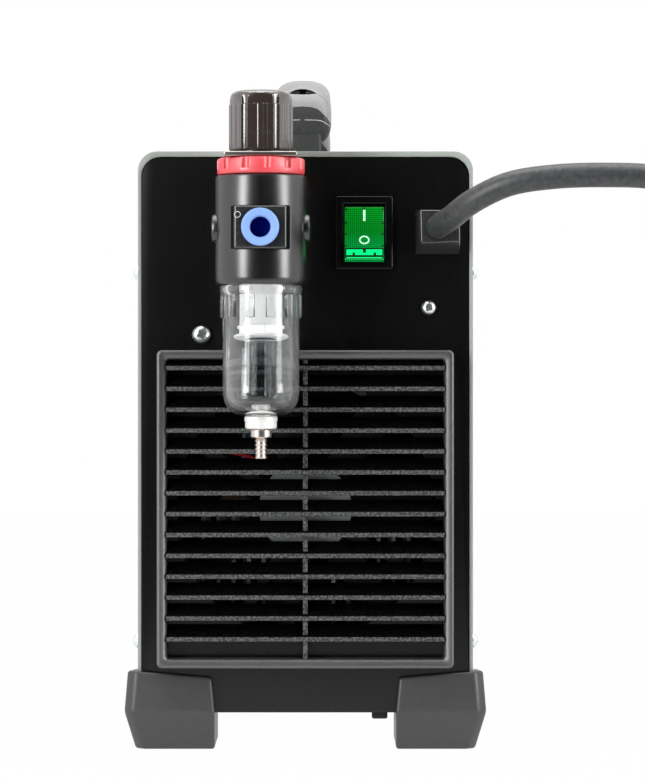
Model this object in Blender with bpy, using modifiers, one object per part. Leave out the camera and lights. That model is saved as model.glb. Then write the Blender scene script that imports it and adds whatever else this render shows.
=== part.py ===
"""Inverter plasma cutter unit with a filter-regulator on its rear panel.

Metres, +Z up. The rear panel faces -Y, the control panel faces +Y, and the four
corner feet stand on Z = 0. The machine's length is centred on Y = 0.
"""

import math

import bmesh
import bpy
from mathutils import Euler, Matrix, Vector

# ---------------------------------------------------------------- sizes, metres

CLEAR = 0.0003  # gap kept where two pieces touch
RUNNING = 0.0005  # gap round a piece that turns or slides

# Case
CASE_WIDTH = 0.147
CASE_HEIGHT = 0.2467
CASE_LENGTH = 0.330
FOOT_DROP = 0.016  # floor to the underside of the case
COVER_SHEET = 0.0015
COVER_CORNER = 0.009
PANEL_SHEET = 0.0012
PANEL_FLANGE = 0.014
PANEL_BEND = 0.0024
BASE_SHEET = 0.0015
BASE_FLANGE = 0.014
VENT_LENGTH = 0.044
VENT_WIDTH = 0.0032
VENT_PITCH = 0.0085
VENT_COUNT = 9
VENT_RISE = 0.134  # the vents' middle above the case's underside
VENT_CENTRE_Y = 0.085  # from the middle of the case, towards the front and the rear

# Corner feet
FOOT_WIDTH = 0.0396
FOOT_LENGTH = 0.058
FOOT_RISE = 0.0185  # how far a foot climbs the case
FOOT_WALL = 0.0058
FOOT_TAPER = 0.0048
FOOT_SLOPE = 0.0030  # how far the rim falls from the corner to its ends
FOOT_CREASE = 0.0165
FOOT_STUD_INSET = 0.022
FOOT_STUD_RADIUS = 0.004
FOOT_STUD_LENGTH = 0.007

# Screws
COVER_SCREW_HOLE = 0.0021
COVER_SCREW_RISE = 0.031  # the lower ones above the case's underside
COVER_SCREW_DROP = 0.0537  # the upper ones below the case's top
COVER_SCREW_INSET = 0.008
PANEL_SCREW_LENGTH = 0.008
PANEL_SCREW_SHANK = 0.0018
LEFT_SCREW_HEAD = 0.0041
LEFT_SCREW_INSET = 0.0279  # from the case's side
LEFT_SCREW_RISE = 0.0069  # above the grille
RIGHT_SCREW_HEAD = 0.0032
RIGHT_SCREW_INSET = 0.0194
RIGHT_SCREW_SHARE = 0.448  # of the way from the grille up to the cord entry

# Fan and its grille
FAN_SIZE = 0.119
FAN_DEPTH = 0.025
FAN_BORE = 0.0575
FAN_HUB = 0.0205
FAN_BLADES = 7
FAN_BLADE_SHEET = 0.0014
FAN_HOLE_PITCH = 0.105
FAN_HOLE = 0.0022
FAN_RISE = 0.0894  # the fan's axis above the case's underside
GRILLE_MARGIN = 0.0087  # from the case's side to the grille
GRILLE_HEIGHT = 0.1388
GRILLE_DEPTH = 0.0105
GRILLE_RIM = 0.0043
SLAT_COUNT = 14
SLAT_PITCH = 0.0091
SLAT_EDGE = 0.0022
SLAT_RISE = 0.0051
GRILLE_RIB = 0.0022
GRILLE_RIB_SETBACK = 0.0018

# Mains switch
SWITCH_INSET = 0.0477  # from the case's right side to the middle
ROW_DROP = 0.0363  # the switch and the cord entry, below the case's top
SWITCH_WIDTH = 0.025
SWITCH_HEIGHT = 0.032
SWITCH_PROUD = 0.0022
SWITCH_BODY_DEPTH = 0.024
ROCKER_WIDTH = 0.0172
ROCKER_RADIUS = 0.0122
ROCKER_TILT = math.radians(8.0)

# Cord entry and mains cord
GLAND_INSET = 0.0156  # from the case's right side to the middle
GLAND_SIZE = 0.0197
GLAND_PROUD = 0.013
CORD_RADIUS = 0.00525
COIL_TURNS_EACH_WAY = 2.0
COIL_PITCH = 0.0115
COIL_LIFT = 0.0012  # air between the coil's two layers
COIL_OUTER_RADIUS = 0.066
COIL_LOOP_POINTS = 24
PLUG_RADIUS = 0.019
PLUG_LENGTH = 0.034
PLUG_SLEEVE = 0.032
PIN_RADIUS = 0.0024
PIN_LENGTH = 0.019
PIN_SPACING = 0.019

# Filter-regulator
REG_INSET = 0.0545  # from the case's left side to the regulator's axis
REG_OFFSET = 0.031  # from the rear panel to the regulator's axis
REG_BODY_RADIUS = 0.0196
REG_BODY_RISE = 0.0229  # above the ports
REG_BODY_FALL = 0.0241  # below the ports
PORT_DROP = 0.0359  # the ports below the case's top
PORT_WIDTH = 0.0224
PORT_HEIGHT = 0.0184
PORT_POCKET = 0.028
PORT_REACH = 0.0208  # from the axis to the face of the inlet block
COLLAR_RADIUS = 0.0081
COLLAR_BORE = 0.00435
COLLAR_PROUD = 0.0034
RING_RADIUS = 0.01885
RING_HEIGHT = 0.0070
RING_NOTCHES = 12
RING_NOTCH_RADIUS = 0.0024
RING_NOTCH_DROP = 0.0046  # from the ring's top
BONNET_RADIUS = 0.0145
BONNET_NECK = 0.0110
BONNET_HEIGHT = 0.020
BRACKET_WIDTH = 0.0315
BRACKET_SHEET = 0.0021
BRACKET_LEG = 0.034
KNOB_RADIUS = 0.0140
KNOB_HEIGHT = 0.0262
KNOB_WALL = 0.0019
KNOB_GRIPS = 6  # raised grips, each with two grooves, between open channels
KNOB_GRIP_HEIGHT = 0.0200
KNOB_CHANNEL_RADIUS = 0.0017
KNOB_GROOVE_RADIUS = 0.0016
KNOB_GROOVE_ANGLE = 9.1  # degrees from the grip's middle
SPINDLE_RADIUS = 0.0025
PLUG_BOSS_RADIUS = 0.00635
OUTLET_RADIUS = 0.0062
BOWL_RING_RADIUS = 0.01765
BOWL_RADIUS = 0.0165
BOWL_WALL = 0.0020
BOWL_LENGTH = 0.0558
ELEMENT_RADIUS = 0.0095
ELEMENT_LENGTH = 0.0152
BAFFLE_RADIUS = 0.0120
SHIELD_RADIUS = 0.0065
SHIELD_LENGTH = 0.026
DRAIN_NUT_RADIUS = 0.0071
DRAIN_NUT_HEIGHT = 0.0056
DRAIN_COLLAR_RADIUS = 0.0047
DRAIN_BARB_RADIUS = 0.0026
DRAIN_BARB_RIBS = 5

# Handle
HANDLE_X = -0.0015
HANDLE_LENGTH = 0.250
HANDLE_BULB = 0.0225  # length of each rounded end
HANDLE_FOOT_WIDTH = 0.0170
HANDLE_SCREW_RADIUS = 0.002
HANDLE_SLOT_RISE = 0.0282  # the strap slots above the case
HANDLE_STATIONS = (  # from either end: distance in, underside and top above the case, half width
    (0.0000, 0.0145, 0.0205, 0.0085),
    (0.0010, 0.0112, 0.0238, 0.0108),
    (0.0025, 0.0090, 0.0264, 0.0120),
    (0.0050, 0.0071, 0.0292, 0.0127),
    (0.0085, 0.0060, 0.0318, 0.0130),
    (0.0130, 0.0060, 0.0334, 0.0130),
    (0.0190, 0.0060, 0.0342, 0.0129),
    (0.0218, 0.0072, 0.0345, 0.0128),
    (0.0250, 0.0115, 0.0349, 0.0127),
    (0.0285, 0.0162, 0.0353, 0.0126),
    (0.0340, 0.0187, 0.0360, 0.0125),
    (0.0450, 0.0195, 0.0371, 0.0123),
    (0.0700, 0.0195, 0.0383, 0.0120),
    (0.0980, 0.0195, 0.0385, 0.0120),
)

# Control panel at the front
DISPLAY_WIDTH = 0.056
DISPLAY_HEIGHT = 0.022
DISPLAY_PROUD = 0.0024
DISPLAY_BODY = 0.0112  # depth of the part behind the window
DISPLAY_LIP = 0.003
LAMP_RADIUS = 0.0025
LAMP_PITCH = 0.020
DISPLAY_DROP = 0.0387  # below the case's top
LAMP_DROP = 0.0627  # below the case's top
DIAL_DROP = 0.0987  # below the case's top
DIAL_INSET = 0.0435  # from the case's side
MODE_INSET = 0.0415  # from the case's side
TORCH_INSET = 0.0395  # from the case's side
DIAL_RADIUS = 0.016
DIAL_HEIGHT = 0.016
DIAL_SHAFT = 0.003
MODE_WIDTH = 0.021
MODE_HEIGHT = 0.015
TORCH_RISE = 0.080  # above the case's underside
TORCH_RADIUS = 0.0155
TORCH_BORE = 0.0065
TORCH_REACH = 0.024
TORCH_DEPTH = 0.034
EARTH_RADIUS = 0.018
EARTH_BORE = 0.0063
EARTH_REACH = 0.015
EARTH_DEPTH = 0.030
SIGNAL_RISE = 0.044  # above the case's underside
SIGNAL_RADIUS = 0.0085
SIGNAL_BORE = 0.0052
SIGNAL_REACH = 0.009
SIGNAL_DEPTH = 0.012
SOCKET_NECK = 0.8  # share of a socket's radius that passes through the panel

# Inside
BOARD_WIDTH = 0.118
BOARD_LENGTH = 0.200
BOARD_SHEET = 0.0016
STANDOFF_HEIGHT = 0.010
STANDOFF_RADIUS = 0.003
BOARD_GAP_REAR = 0.014  # fan to board
SINK_WIDTH = 0.036
SINK_HEIGHT = 0.070
SINK_LENGTH = 0.090
SINK_FINS = 6
CORE_WIDTH = 0.050
CORE_HEIGHT = 0.048
CORE_DEPTH = 0.022
WINDING_WALL = 0.008
CAPACITOR_RADIUS = 0.0125
CAPACITOR_HEIGHT = 0.040
VALVE_SIZE = 0.028
VALVE_COIL_RADIUS = 0.012
VALVE_COIL_HEIGHT = 0.034
HOSE_RADIUS = 0.004
HOSE_BEND = 0.010
HOSE_DROP = 0.060  # the level run below the ports
ELBOW_SIZE = 0.016
SPIGOT_LENGTH = 0.010

# Stud under the case
STUD_SIDE = 0.0408  # the base stud's middle from the case's side
STUD_INSET = 0.012
STUD_SIZE = 0.0069
STUD_HEIGHT = 0.0032

# ------------------------------------------------------------- places worked out

CASE_SIDE = CASE_WIDTH / 2.0
STUD_X = CASE_SIDE - STUD_SIDE
CASE_BOTTOM = FOOT_DROP
CASE_TOP = FOOT_DROP + CASE_HEIGHT
FAN_AXIS_Z = CASE_BOTTOM + FAN_RISE
GRILLE_WIDTH = 2.0 * (CASE_SIDE - GRILLE_MARGIN)
GRILLE_TOP = FAN_AXIS_Z + GRILLE_HEIGHT / 2.0
SWITCH_X = CASE_SIDE - SWITCH_INSET
SWITCH_Z = CASE_TOP - ROW_DROP
GLAND_X = CASE_SIDE - GLAND_INSET
GLAND_Z = CASE_TOP - ROW_DROP
REG_X = REG_INSET - CASE_SIDE
PORT_Z = CASE_TOP - PORT_DROP
REG_BODY_TOP = PORT_Z + REG_BODY_RISE
REG_BODY_BOTTOM = PORT_Z - REG_BODY_FALL
RIGHT_SCREW_RUN = GLAND_Z - GLAND_SIZE / 2.0 - GRILLE_TOP
PANEL_SCREWS = (  # label, head radius and place on the rear panel
    ("left", LEFT_SCREW_HEAD, LEFT_SCREW_INSET - CASE_SIDE, GRILLE_TOP + LEFT_SCREW_RISE),
    (
        "right",
        RIGHT_SCREW_HEAD,
        CASE_SIDE - RIGHT_SCREW_INSET,
        GRILLE_TOP + RIGHT_SCREW_SHARE * RIGHT_SCREW_RUN,
    ),
)
DISPLAY_Z = CASE_TOP - DISPLAY_DROP
LAMP_Z = CASE_TOP - LAMP_DROP
DIAL_X = CASE_SIDE - DIAL_INSET
DIAL_Z = CASE_TOP - DIAL_DROP
MODE_X = MODE_INSET - CASE_SIDE
TORCH_X = CASE_SIDE - TORCH_INSET
TORCH_Z = CASE_BOTTOM + TORCH_RISE
SIGNAL_Z = CASE_BOTTOM + SIGNAL_RISE
CORD_ENTRY_Z = GLAND_Z + 0.002
CORD_LOW = CORD_RADIUS + CLEAR
REG_REACH = REG_OFFSET + PORT_REACH + COLLAR_PROUD
REAR = REG_REACH - (REG_REACH + CASE_LENGTH + TORCH_REACH) / 2.0
FRONT = REAR + CASE_LENGTH
MIDDLE = (REAR + FRONT) / 2.0
PANEL_HALF = CASE_SIDE - COVER_SHEET - CLEAR
PANEL_TOP = CASE_TOP - COVER_SHEET - CLEAR
BASE_TOP = CASE_BOTTOM + PANEL_SHEET + CLEAR + BASE_SHEET
REG_Y = REAR - REG_OFFSET
RING_BOTTOM = REG_BODY_TOP + CLEAR
RING_TOP = RING_BOTTOM + RING_HEIGHT
BRACKET_BOTTOM = RING_TOP + CLEAR
BRACKET_TOP = BRACKET_BOTTOM + BRACKET_SHEET
KNOB_BOTTOM = BRACKET_TOP + 2.0 * CLEAR
KNOB_TOP = KNOB_BOTTOM + KNOB_HEIGHT
BONNET_TOP = RING_BOTTOM + BONNET_HEIGHT
BOWL_TOP = REG_BODY_BOTTOM - CLEAR
BOWL_BOTTOM = BOWL_TOP - BOWL_LENGTH
FAN_FACE = REAR + PANEL_SHEET + CLEAR
FAN_BACK = FAN_FACE + FAN_DEPTH
BOARD_REAR = FAN_BACK + BOARD_GAP_REAR
BOARD_BOTTOM = BASE_TOP + STANDOFF_HEIGHT + CLEAR
BOARD_TOP = BOARD_BOTTOM + BOARD_SHEET
GRILLE_FRONT = REAR - CLEAR - GRILLE_DEPTH

FACING = {
    "+Z": Euler((0.0, 0.0, 0.0)),
    "-Z": Euler((math.pi, 0.0, 0.0)),
    "-Y": Euler((math.pi / 2, 0.0, 0.0)),
    "+Y": Euler((math.pi / 2, 0.0, math.pi)),
    "+X": Euler((math.pi / 2, 0.0, math.pi / 2)),
    "-X": Euler((math.pi / 2, 0.0, -math.pi / 2)),
}

# Colour, roughness and metallic value of each finish
FINISHES = {
    "black_paint": ((0.012, 0.012, 0.013), 0.45, 0.0),
    "white_paint": ((0.62, 0.64, 0.62), 0.40, 0.0),
    "zinc": ((0.72, 0.74, 0.74), 0.30, 1.0),
    "bright_nickel": ((0.80, 0.76, 0.72), 0.22, 1.0),
    "brass": ((0.75, 0.56, 0.26), 0.30, 1.0),
    "copper": ((0.72, 0.34, 0.18), 0.40, 1.0),
    "aluminium": ((0.78, 0.79, 0.80), 0.35, 1.0),
    "ferrite": ((0.06, 0.06, 0.065), 0.60, 0.0),
    "moulded_black": ((0.016, 0.016, 0.017), 0.50, 0.0),
    "gloss_black": ((0.010, 0.010, 0.011), 0.20, 0.0),
    "knob_brown": ((0.040, 0.030, 0.027), 0.22, 0.0),
    "ring_red": ((0.80, 0.020, 0.050), 0.35, 0.0),
    "collar_blue": ((0.22, 0.42, 0.95), 0.40, 0.0),
    "lit_green": ((0.0, 0.42, 0.06), 0.25, 0.0),
    "clear_bowl": ((0.85, 0.88, 0.90), 0.08, 0.0),
    "white_plastic": ((0.88, 0.88, 0.88), 0.45, 0.0),
    "grey_plastic": ((0.10, 0.10, 0.10), 0.50, 0.0),
    "rubber": ((0.055, 0.057, 0.058), 0.75, 0.0),
    "cord_rubber": ((0.085, 0.087, 0.090), 0.60, 0.0),
    "board_green": ((0.02, 0.20, 0.08), 0.50, 0.0),
    "lamp_amber": ((0.85, 0.42, 0.05), 0.25, 0.0),
    "display_dark": ((0.05, 0.015, 0.015), 0.12, 0.0),
}


# -------------------------------------------------------------------- modelling


def start_scene():
    """Empties the scene and makes one collection for the parts and one for the tools."""
    for obj in list(bpy.data.objects):
        bpy.data.objects.remove(obj, do_unlink=True)
    made = []
    for name in ("plasma_cutter_unit", "cutters"):
        collection = bpy.data.collections.new(name)
        bpy.context.scene.collection.children.link(collection)
        made.append(collection)
    return made


PARTS, CUTTERS = start_scene()


def finish_for(name, look):
    """A Principled material of its own for one piece."""
    colour, roughness, metallic = FINISHES[look]
    material = bpy.data.materials.new(name + "_" + look)
    material.use_nodes = True
    shader = material.node_tree.nodes["Principled BSDF"]
    shader.inputs["Base Color"].default_value = (*colour, 1.0)
    shader.inputs["Roughness"].default_value = roughness
    shader.inputs["Metallic"].default_value = metallic
    return material


def place(name, data, centre, facing, look=None):
    """Links an object: a part where it has a look, and a hidden tool where it has none."""
    obj = bpy.data.objects.new(name, data)
    obj.location = centre
    obj.rotation_euler = FACING[facing]
    if look:
        PARTS.objects.link(obj)
        data.materials.append(finish_for(name, look))
    else:
        CUTTERS.objects.link(obj)
        obj.hide_render = True
        obj.display_type = "WIRE"
    return obj


def bevelled(obj, width, segments=2, angle=40.0):
    """Rounds an object's sharp edges."""
    bevel = obj.modifiers.new("Rounding", "BEVEL")
    bevel.width = width
    bevel.segments = segments
    bevel.limit_method = "ANGLE"
    bevel.angle_limit = math.radians(angle)
    return obj


def box(name, size, centre, look=None, rounding=0.0, segments=2):
    """A box, with rounded edges where a rounding is given."""
    bm = bmesh.new()
    bmesh.ops.create_cube(bm, size=1.0)
    bmesh.ops.scale(bm, vec=size, verts=bm.verts)
    mesh = bpy.data.meshes.new(name)
    bm.to_mesh(mesh)
    bm.free()
    obj = place(name, mesh, centre, "+Z", look)
    return bevelled(obj, rounding, segments) if rounding else obj


def rod(name, radius, length, centre, facing, look=None, sides=24):
    """A plain cylinder about its own centre."""
    bm = bmesh.new()
    bmesh.ops.create_cone(
        bm, cap_ends=True, segments=sides, radius1=radius, radius2=radius, depth=length
    )
    mesh = bpy.data.meshes.new(name)
    bm.to_mesh(mesh)
    bm.free()
    mesh.shade_smooth()
    mesh.set_sharp_from_angle(angle=math.radians(35.0))
    return place(name, mesh, centre, facing, look)


def turned(name, profile, centre, facing, look=None, steps=28, hollow=False):
    """A turned piece. The profile's (radius, height) points run down its outer side."""
    mesh = bpy.data.meshes.new(name)
    points = [(radius, 0.0, height) for radius, height in profile]
    edges = [(i, i + 1) for i in range(len(points) - 1)]
    if hollow:
        edges.append((len(points) - 1, 0))
    mesh.from_pydata(points, edges, [])
    obj = place(name, mesh, centre, facing, look)
    screw = obj.modifiers.new("Turning", "SCREW")
    screw.angle = 2.0 * math.pi
    screw.steps = steps
    screw.render_steps = steps
    screw.use_merge_vertices = True
    screw.merge_threshold = 0.00001
    screw.use_smooth_shade = True
    return obj


def frozen(obj):
    """The object with its curve or its modifiers turned into a welded mesh."""
    bpy.context.view_layer.update()
    graph = bpy.context.evaluated_depsgraph_get()
    mesh = bpy.data.meshes.new_from_object(obj.evaluated_get(graph))
    bm = bmesh.new()
    bm.from_mesh(mesh)
    bmesh.ops.remove_doubles(bm, verts=bm.verts, dist=0.000001)
    bm.to_mesh(mesh)
    bm.free()
    name, matrix, home = obj.name, obj.matrix_world.copy(), obj.users_collection[0]
    hidden = obj.hide_render
    bpy.data.objects.remove(obj, do_unlink=True)
    made = bpy.data.objects.new(name, mesh)
    home.objects.link(made)
    made.matrix_world = matrix
    if hidden:
        made.hide_render = True
        made.display_type = "WIRE"
    return made


def plate(name, outlines, thickness, centre, facing, look=None):
    """A flat plate from a closed outline and the outlines of its holes."""
    curve = bpy.data.curves.new(name, "CURVE")
    curve.dimensions = "2D"
    curve.fill_mode = "BOTH"
    curve.extrude = thickness / 2.0
    for outline in outlines:
        spline = curve.splines.new("POLY")
        spline.points.add(len(outline) - 1)
        for point, (x, y) in zip(spline.points, outline):
            point.co = (x, y, 0.0, 1.0)
        spline.use_cyclic_u = True
    return frozen(place(name, curve, centre, facing, look))


def tube(name, points, radius, look, roundness=2):
    """A round tube along a list of points."""
    curve = bpy.data.curves.new(name, "CURVE")
    curve.dimensions = "3D"
    curve.bevel_depth = radius
    curve.bevel_resolution = roundness
    curve.use_fill_caps = True
    spline = curve.splines.new("POLY")
    spline.points.add(len(points) - 1)
    for point, place_at in zip(spline.points, points):
        point.co = (*place_at, 1.0)
    return place(name, curve, (0.0, 0.0, 0.0), "+Z", look)


def repeated(name, pattern, places):
    """One tool that holds a copy of the pattern at each place."""
    facing = pattern.rotation_euler.to_matrix().to_4x4()
    tool = frozen(pattern)
    bm = bmesh.new()
    for at in places:
        copy = tool.data.copy()
        copy.transform(Matrix.Translation(at) @ facing)
        bm.from_mesh(copy)
        bpy.data.meshes.remove(copy)
    bpy.data.objects.remove(tool, do_unlink=True)
    merged = bpy.data.meshes.new(name)
    bm.to_mesh(merged)
    bm.free()
    return place(name, merged, (0.0, 0.0, 0.0), "+Z")


def combine(obj, other, operation):
    """Cuts the other object from this one, or joins it to this one."""
    boolean = obj.modifiers.new(operation.title(), "BOOLEAN")
    boolean.operation = operation
    boolean.solver = "EXACT"
    boolean.object = other
    return obj


def cut(obj, *cutters):
    for cutter in cutters:
        combine(obj, cutter, "DIFFERENCE")
    return obj


def join(obj, *others):
    for other in others:
        combine(obj, other, "UNION")
    return obj


def arc(radius, start, end, count, centre=(0.0, 0.0)):
    """Points on an arc, from one angle in degrees to another."""
    made = []
    for i in range(count):
        angle = math.radians(start + (end - start) * i / (count - 1))
        made.append(
            (centre[0] + radius * math.cos(angle), centre[1] + radius * math.sin(angle))
        )
    return made


def rounded_outline(half_width, bottom, top, top_radius, bottom_radius, steps=5):
    """A rectangle, counter-clockwise, with its own radius at the top and the bottom."""
    corners = (
        (half_width - bottom_radius, bottom + bottom_radius, bottom_radius, 270.0),
        (half_width - top_radius, top - top_radius, top_radius, 0.0),
        (-half_width + top_radius, top - top_radius, top_radius, 90.0),
        (-half_width + bottom_radius, bottom + bottom_radius, bottom_radius, 180.0),
    )
    points = []
    for x, y, radius, start in corners:
        points += arc(radius, start, start + 90.0, steps, (x, y))
    return points


# ------------------------------------------------------------------------- case


def pan(name, facing, y):
    """A folded panel: a face with a flange turned inwards all round it."""
    outline = rounded_outline(
        PANEL_HALF, CASE_BOTTOM, PANEL_TOP, COVER_CORNER - COVER_SHEET, 0.002
    )
    bm = bmesh.new()
    face = bm.faces.new([bm.verts.new((x, z, 0.0)) for x, z in outline])
    rim = list(face.edges)
    walls = bmesh.ops.extrude_edge_only(bm, edges=rim)
    pulled = [v for v in walls["geom"] if isinstance(v, bmesh.types.BMVert)]
    bmesh.ops.translate(bm, vec=(0.0, 0.0, -PANEL_FLANGE), verts=pulled)
    bmesh.ops.bevel(
        bm, geom=rim, offset=PANEL_BEND, segments=2, profile=0.5, affect="EDGES"
    )
    bmesh.ops.recalc_face_normals(bm, faces=bm.faces)
    if max(bm.faces, key=lambda f: f.calc_area()).normal.z < 0.0:
        bmesh.ops.reverse_faces(bm, faces=bm.faces)
    mesh = bpy.data.meshes.new(name)
    bm.to_mesh(mesh)
    bm.free()
    obj = place(name, mesh, (0.0, y, 0.0), facing, "black_paint")
    wall = obj.modifiers.new("Sheet", "SOLIDIFY")
    wall.thickness = PANEL_SHEET
    wall.offset = -1.0
    wall.use_even_offset = True
    return obj


def cover_screw_lines():
    rows = (REAR + COVER_SCREW_INSET, FRONT - COVER_SCREW_INSET)
    heights = (CASE_BOTTOM + COVER_SCREW_RISE, CASE_TOP - COVER_SCREW_DROP)
    return [(y, z) for y in rows for z in heights]


def screw_line_cutter(name):
    """Rods across the whole case where the cover's screws run."""
    pattern = rod("line", COVER_SCREW_HOLE, CASE_WIDTH * 1.2, (0, 0, 0), "+X", sides=12)
    return repeated(name, pattern, [(0.0, y, z) for y, z in cover_screw_lines()])


def build_cover():
    half = CASE_SIDE
    bottom = CASE_BOTTOM + 0.001
    outline = rounded_outline(half, bottom, CASE_TOP, COVER_CORNER, 0.001, 6)
    side_points = [p for p in outline if p[1] > bottom + 0.002]
    profile = [(half, bottom), *side_points, (-half, bottom)]
    bm = bmesh.new()
    verts = [bm.verts.new((x, REAR - 0.0006, z)) for x, z in profile]
    edges = [bm.edges.new(pair) for pair in zip(verts, verts[1:])]
    walls = bmesh.ops.extrude_edge_only(bm, edges=edges)
    pulled = [v for v in walls["geom"] if isinstance(v, bmesh.types.BMVert)]
    bmesh.ops.translate(bm, vec=(0.0, CASE_LENGTH + 0.0012, 0.0), verts=pulled)
    top = max(bm.faces, key=lambda f: f.calc_center_median().z)
    top.normal_update()
    if top.normal.z < 0.0:
        bmesh.ops.reverse_faces(bm, faces=bm.faces)
    mesh = bpy.data.meshes.new("top_cover")
    bm.to_mesh(mesh)
    bm.free()
    cover = place("top_cover", mesh, (0.0, 0.0, 0.0), "+Z", "white_paint")
    wall = cover.modifiers.new("Sheet", "SOLIDIFY")
    wall.thickness = COVER_SHEET
    wall.offset = -1.0
    wall.use_even_offset = True
    half_vent = VENT_LENGTH / 2.0
    end = VENT_WIDTH / 2.0
    outline = arc(end, -90.0, 90.0, 4, (half_vent - end, 0.0))
    outline += arc(end, 90.0, 270.0, 4, (end - half_vent, 0.0))
    pattern = plate("vent", [outline], CASE_WIDTH * 1.2, (0, 0, 0), "+X")
    first = CASE_BOTTOM + VENT_RISE - VENT_PITCH * (VENT_COUNT - 1) / 2.0
    places = [
        (0.0, MIDDLE + side * VENT_CENTRE_Y, first + VENT_PITCH * i)
        for side in (-1, 1)
        for i in range(VENT_COUNT)
    ]
    cut(cover, repeated("vent_cutter", pattern, places))
    cut(cover, screw_line_cutter("cover_screw_cutter"))
    foot_holes = rod(
        "handle_hole", HANDLE_SCREW_RADIUS + CLEAR, 0.02, (0, 0, 0), "+Z", sides=12
    )
    cut(cover, repeated("handle_hole_cutter", foot_holes, handle_screw_places(CASE_TOP)))
    return cover


def build_base():
    """A tray that rests on the panels' bottom flanges, inside the cover's sides."""
    width = 2.0 * (PANEL_HALF - PANEL_SHEET - CLEAR)
    length = CASE_LENGTH - 2.0 * (PANEL_SHEET + CLEAR) - 0.002
    low = BASE_TOP - BASE_SHEET
    middle = (0.0, MIDDLE, low + BASE_SHEET / 2.0)
    tray = box("base_plate", (width, length, BASE_SHEET), middle, "zinc")
    for side, label in ((-1, "left"), (1, "right")):
        wall = box(
            "base_flange_" + label,
            (BASE_SHEET, length - 2.0 * PANEL_FLANGE, BASE_FLANGE),
            (side * (width - BASE_SHEET) / 2.0, MIDDLE, low + BASE_FLANGE / 2.0),
        )
        join(tray, wall)
    spacer_length = STANDOFF_HEIGHT + BASE_SHEET / 2.0
    spacer_z = BASE_TOP + STANDOFF_HEIGHT - spacer_length / 2.0
    spacer = rod("pattern", STANDOFF_RADIUS, spacer_length, (0, 0, 0), "+Z", sides=12)
    join(tray, repeated("standoffs", spacer, board_corners(spacer_z)))
    return cut(tray, foot_stud_cutter("tray_stud_holes", low))


def foot_stud_place(side, end, z):
    x = CASE_SIDE - FOOT_STUD_INSET
    return (side * x, (REAR if end < 0 else FRONT) - end * FOOT_STUD_INSET, z)


def foot_stud_cutter(name, z):
    """Rods where the four feet's studs pass through the sheet metal."""
    pattern = rod("pattern", FOOT_STUD_RADIUS + CLEAR, 0.02, (0, 0, 0), "+Z", sides=16)
    places = [foot_stud_place(side, end, z) for side in (-1, 1) for end in (-1, 1)]
    return repeated(name, pattern, places)


def build_foot(name, side, end):
    """A rubber corner: it wraps the case's corner and tapers to the floor."""
    outer = CASE_SIDE + FOOT_WALL
    top = CASE_BOTTOM + FOOT_RISE
    edge = (REAR if end < 0 else FRONT) + end * FOOT_WALL
    bm = bmesh.new()
    bmesh.ops.create_cube(bm, size=1.0)
    bmesh.ops.scale(bm, vec=(FOOT_WIDTH, FOOT_LENGTH, top), verts=bm.verts)
    bmesh.ops.translate(bm, vec=(0.0, 0.0, top / 2.0), verts=bm.verts)
    bmesh.ops.bisect_plane(
        bm,
        geom=bm.verts[:] + bm.edges[:] + bm.faces[:],
        plane_co=(0.0, 0.0, FOOT_CREASE),
        plane_no=(0.0, 0.0, 1.0),
    )
    lean = FOOT_TAPER * 0.3
    for vert in bm.verts:
        inner_x, inner_y = vert.co.x * side < 0.0, vert.co.y * end < 0.0
        if vert.co.z < FOOT_CREASE / 2.0:
            vert.co.x -= 0.0 if inner_x else side * FOOT_TAPER
            vert.co.y -= 0.0 if inner_y else end * FOOT_TAPER
        elif vert.co.z > FOOT_CREASE * 1.5:
            vert.co.x += side * (lean if inner_x else -lean)
            vert.co.y += end * (lean if inner_y else -lean)
            vert.co.z -= FOOT_SLOPE if inner_x or inner_y else 0.0
    mesh = bpy.data.meshes.new(name)
    bm.to_mesh(mesh)
    bm.free()
    at = (side * (outer - FOOT_WIDTH / 2.0), edge - end * FOOT_LENGTH / 2.0, 0.0)
    foot = bevelled(place(name, mesh, at, "+Z", "rubber"), 0.0016, 2, 25.0)
    pocket = box(
        name + "_pocket",
        (CASE_WIDTH + 2 * CLEAR, CASE_LENGTH + 2 * CLEAR + 0.0012, CASE_HEIGHT),
        (0.0, MIDDLE, CASE_BOTTOM - CLEAR + CASE_HEIGHT / 2.0),
    )
    stud_z = CASE_BOTTOM + (FOOT_STUD_LENGTH - 0.004) / 2.0
    stud_length = FOOT_STUD_LENGTH + 0.004
    at = foot_stud_place(side, end, stud_z)
    stud = rod(name + "_stud", FOOT_STUD_RADIUS, stud_length, at, "+Z", sides=16)
    return join(cut(foot, pocket), stud)


def pan_head_profile(head, shank, length):
    """Half section of a pan head screw: crown at the top, tip at the bottom."""
    crown = head * 0.72
    return [
        (0.0, crown),
        (head * 0.80, crown * 0.75),
        (head, 0.0),
        (shank, 0.0),
        (shank, -length),
        (0.0, -length - shank * 0.5),
    ]


def build_panel_screws():
    """Two bright screws on the rear panel: the larger on the left, at its own height."""
    for label, head, x, z in PANEL_SCREWS:
        profile = pan_head_profile(head, PANEL_SCREW_SHANK, PANEL_SCREW_LENGTH)
        turned("panel_screw_" + label, profile, (x, REAR - CLEAR, z), "-Y", "zinc", 20)
    pattern = rod("pattern", PANEL_SCREW_SHANK + CLEAR, 0.02, (0, 0, 0), "-Y", sides=12)
    places = [(x, REAR, z) for _, _, x, z in PANEL_SCREWS]
    return repeated("panel_screw_holes", pattern, places)


# -------------------------------------------------------------------------- fan


def grille_gap(z_front, height, depth):
    """Side view of one air gap: its floor is a slat's raked top, its roof the next slat."""
    ahead = 0.001
    slope = SLAT_RISE / GRILLE_DEPTH
    back = depth + ahead
    return [
        (-ahead, z_front - slope * ahead),
        (back, z_front + slope * back),
        (back, z_front + slope * back + height),
        (-ahead, z_front - slope * ahead + height),
    ]


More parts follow.
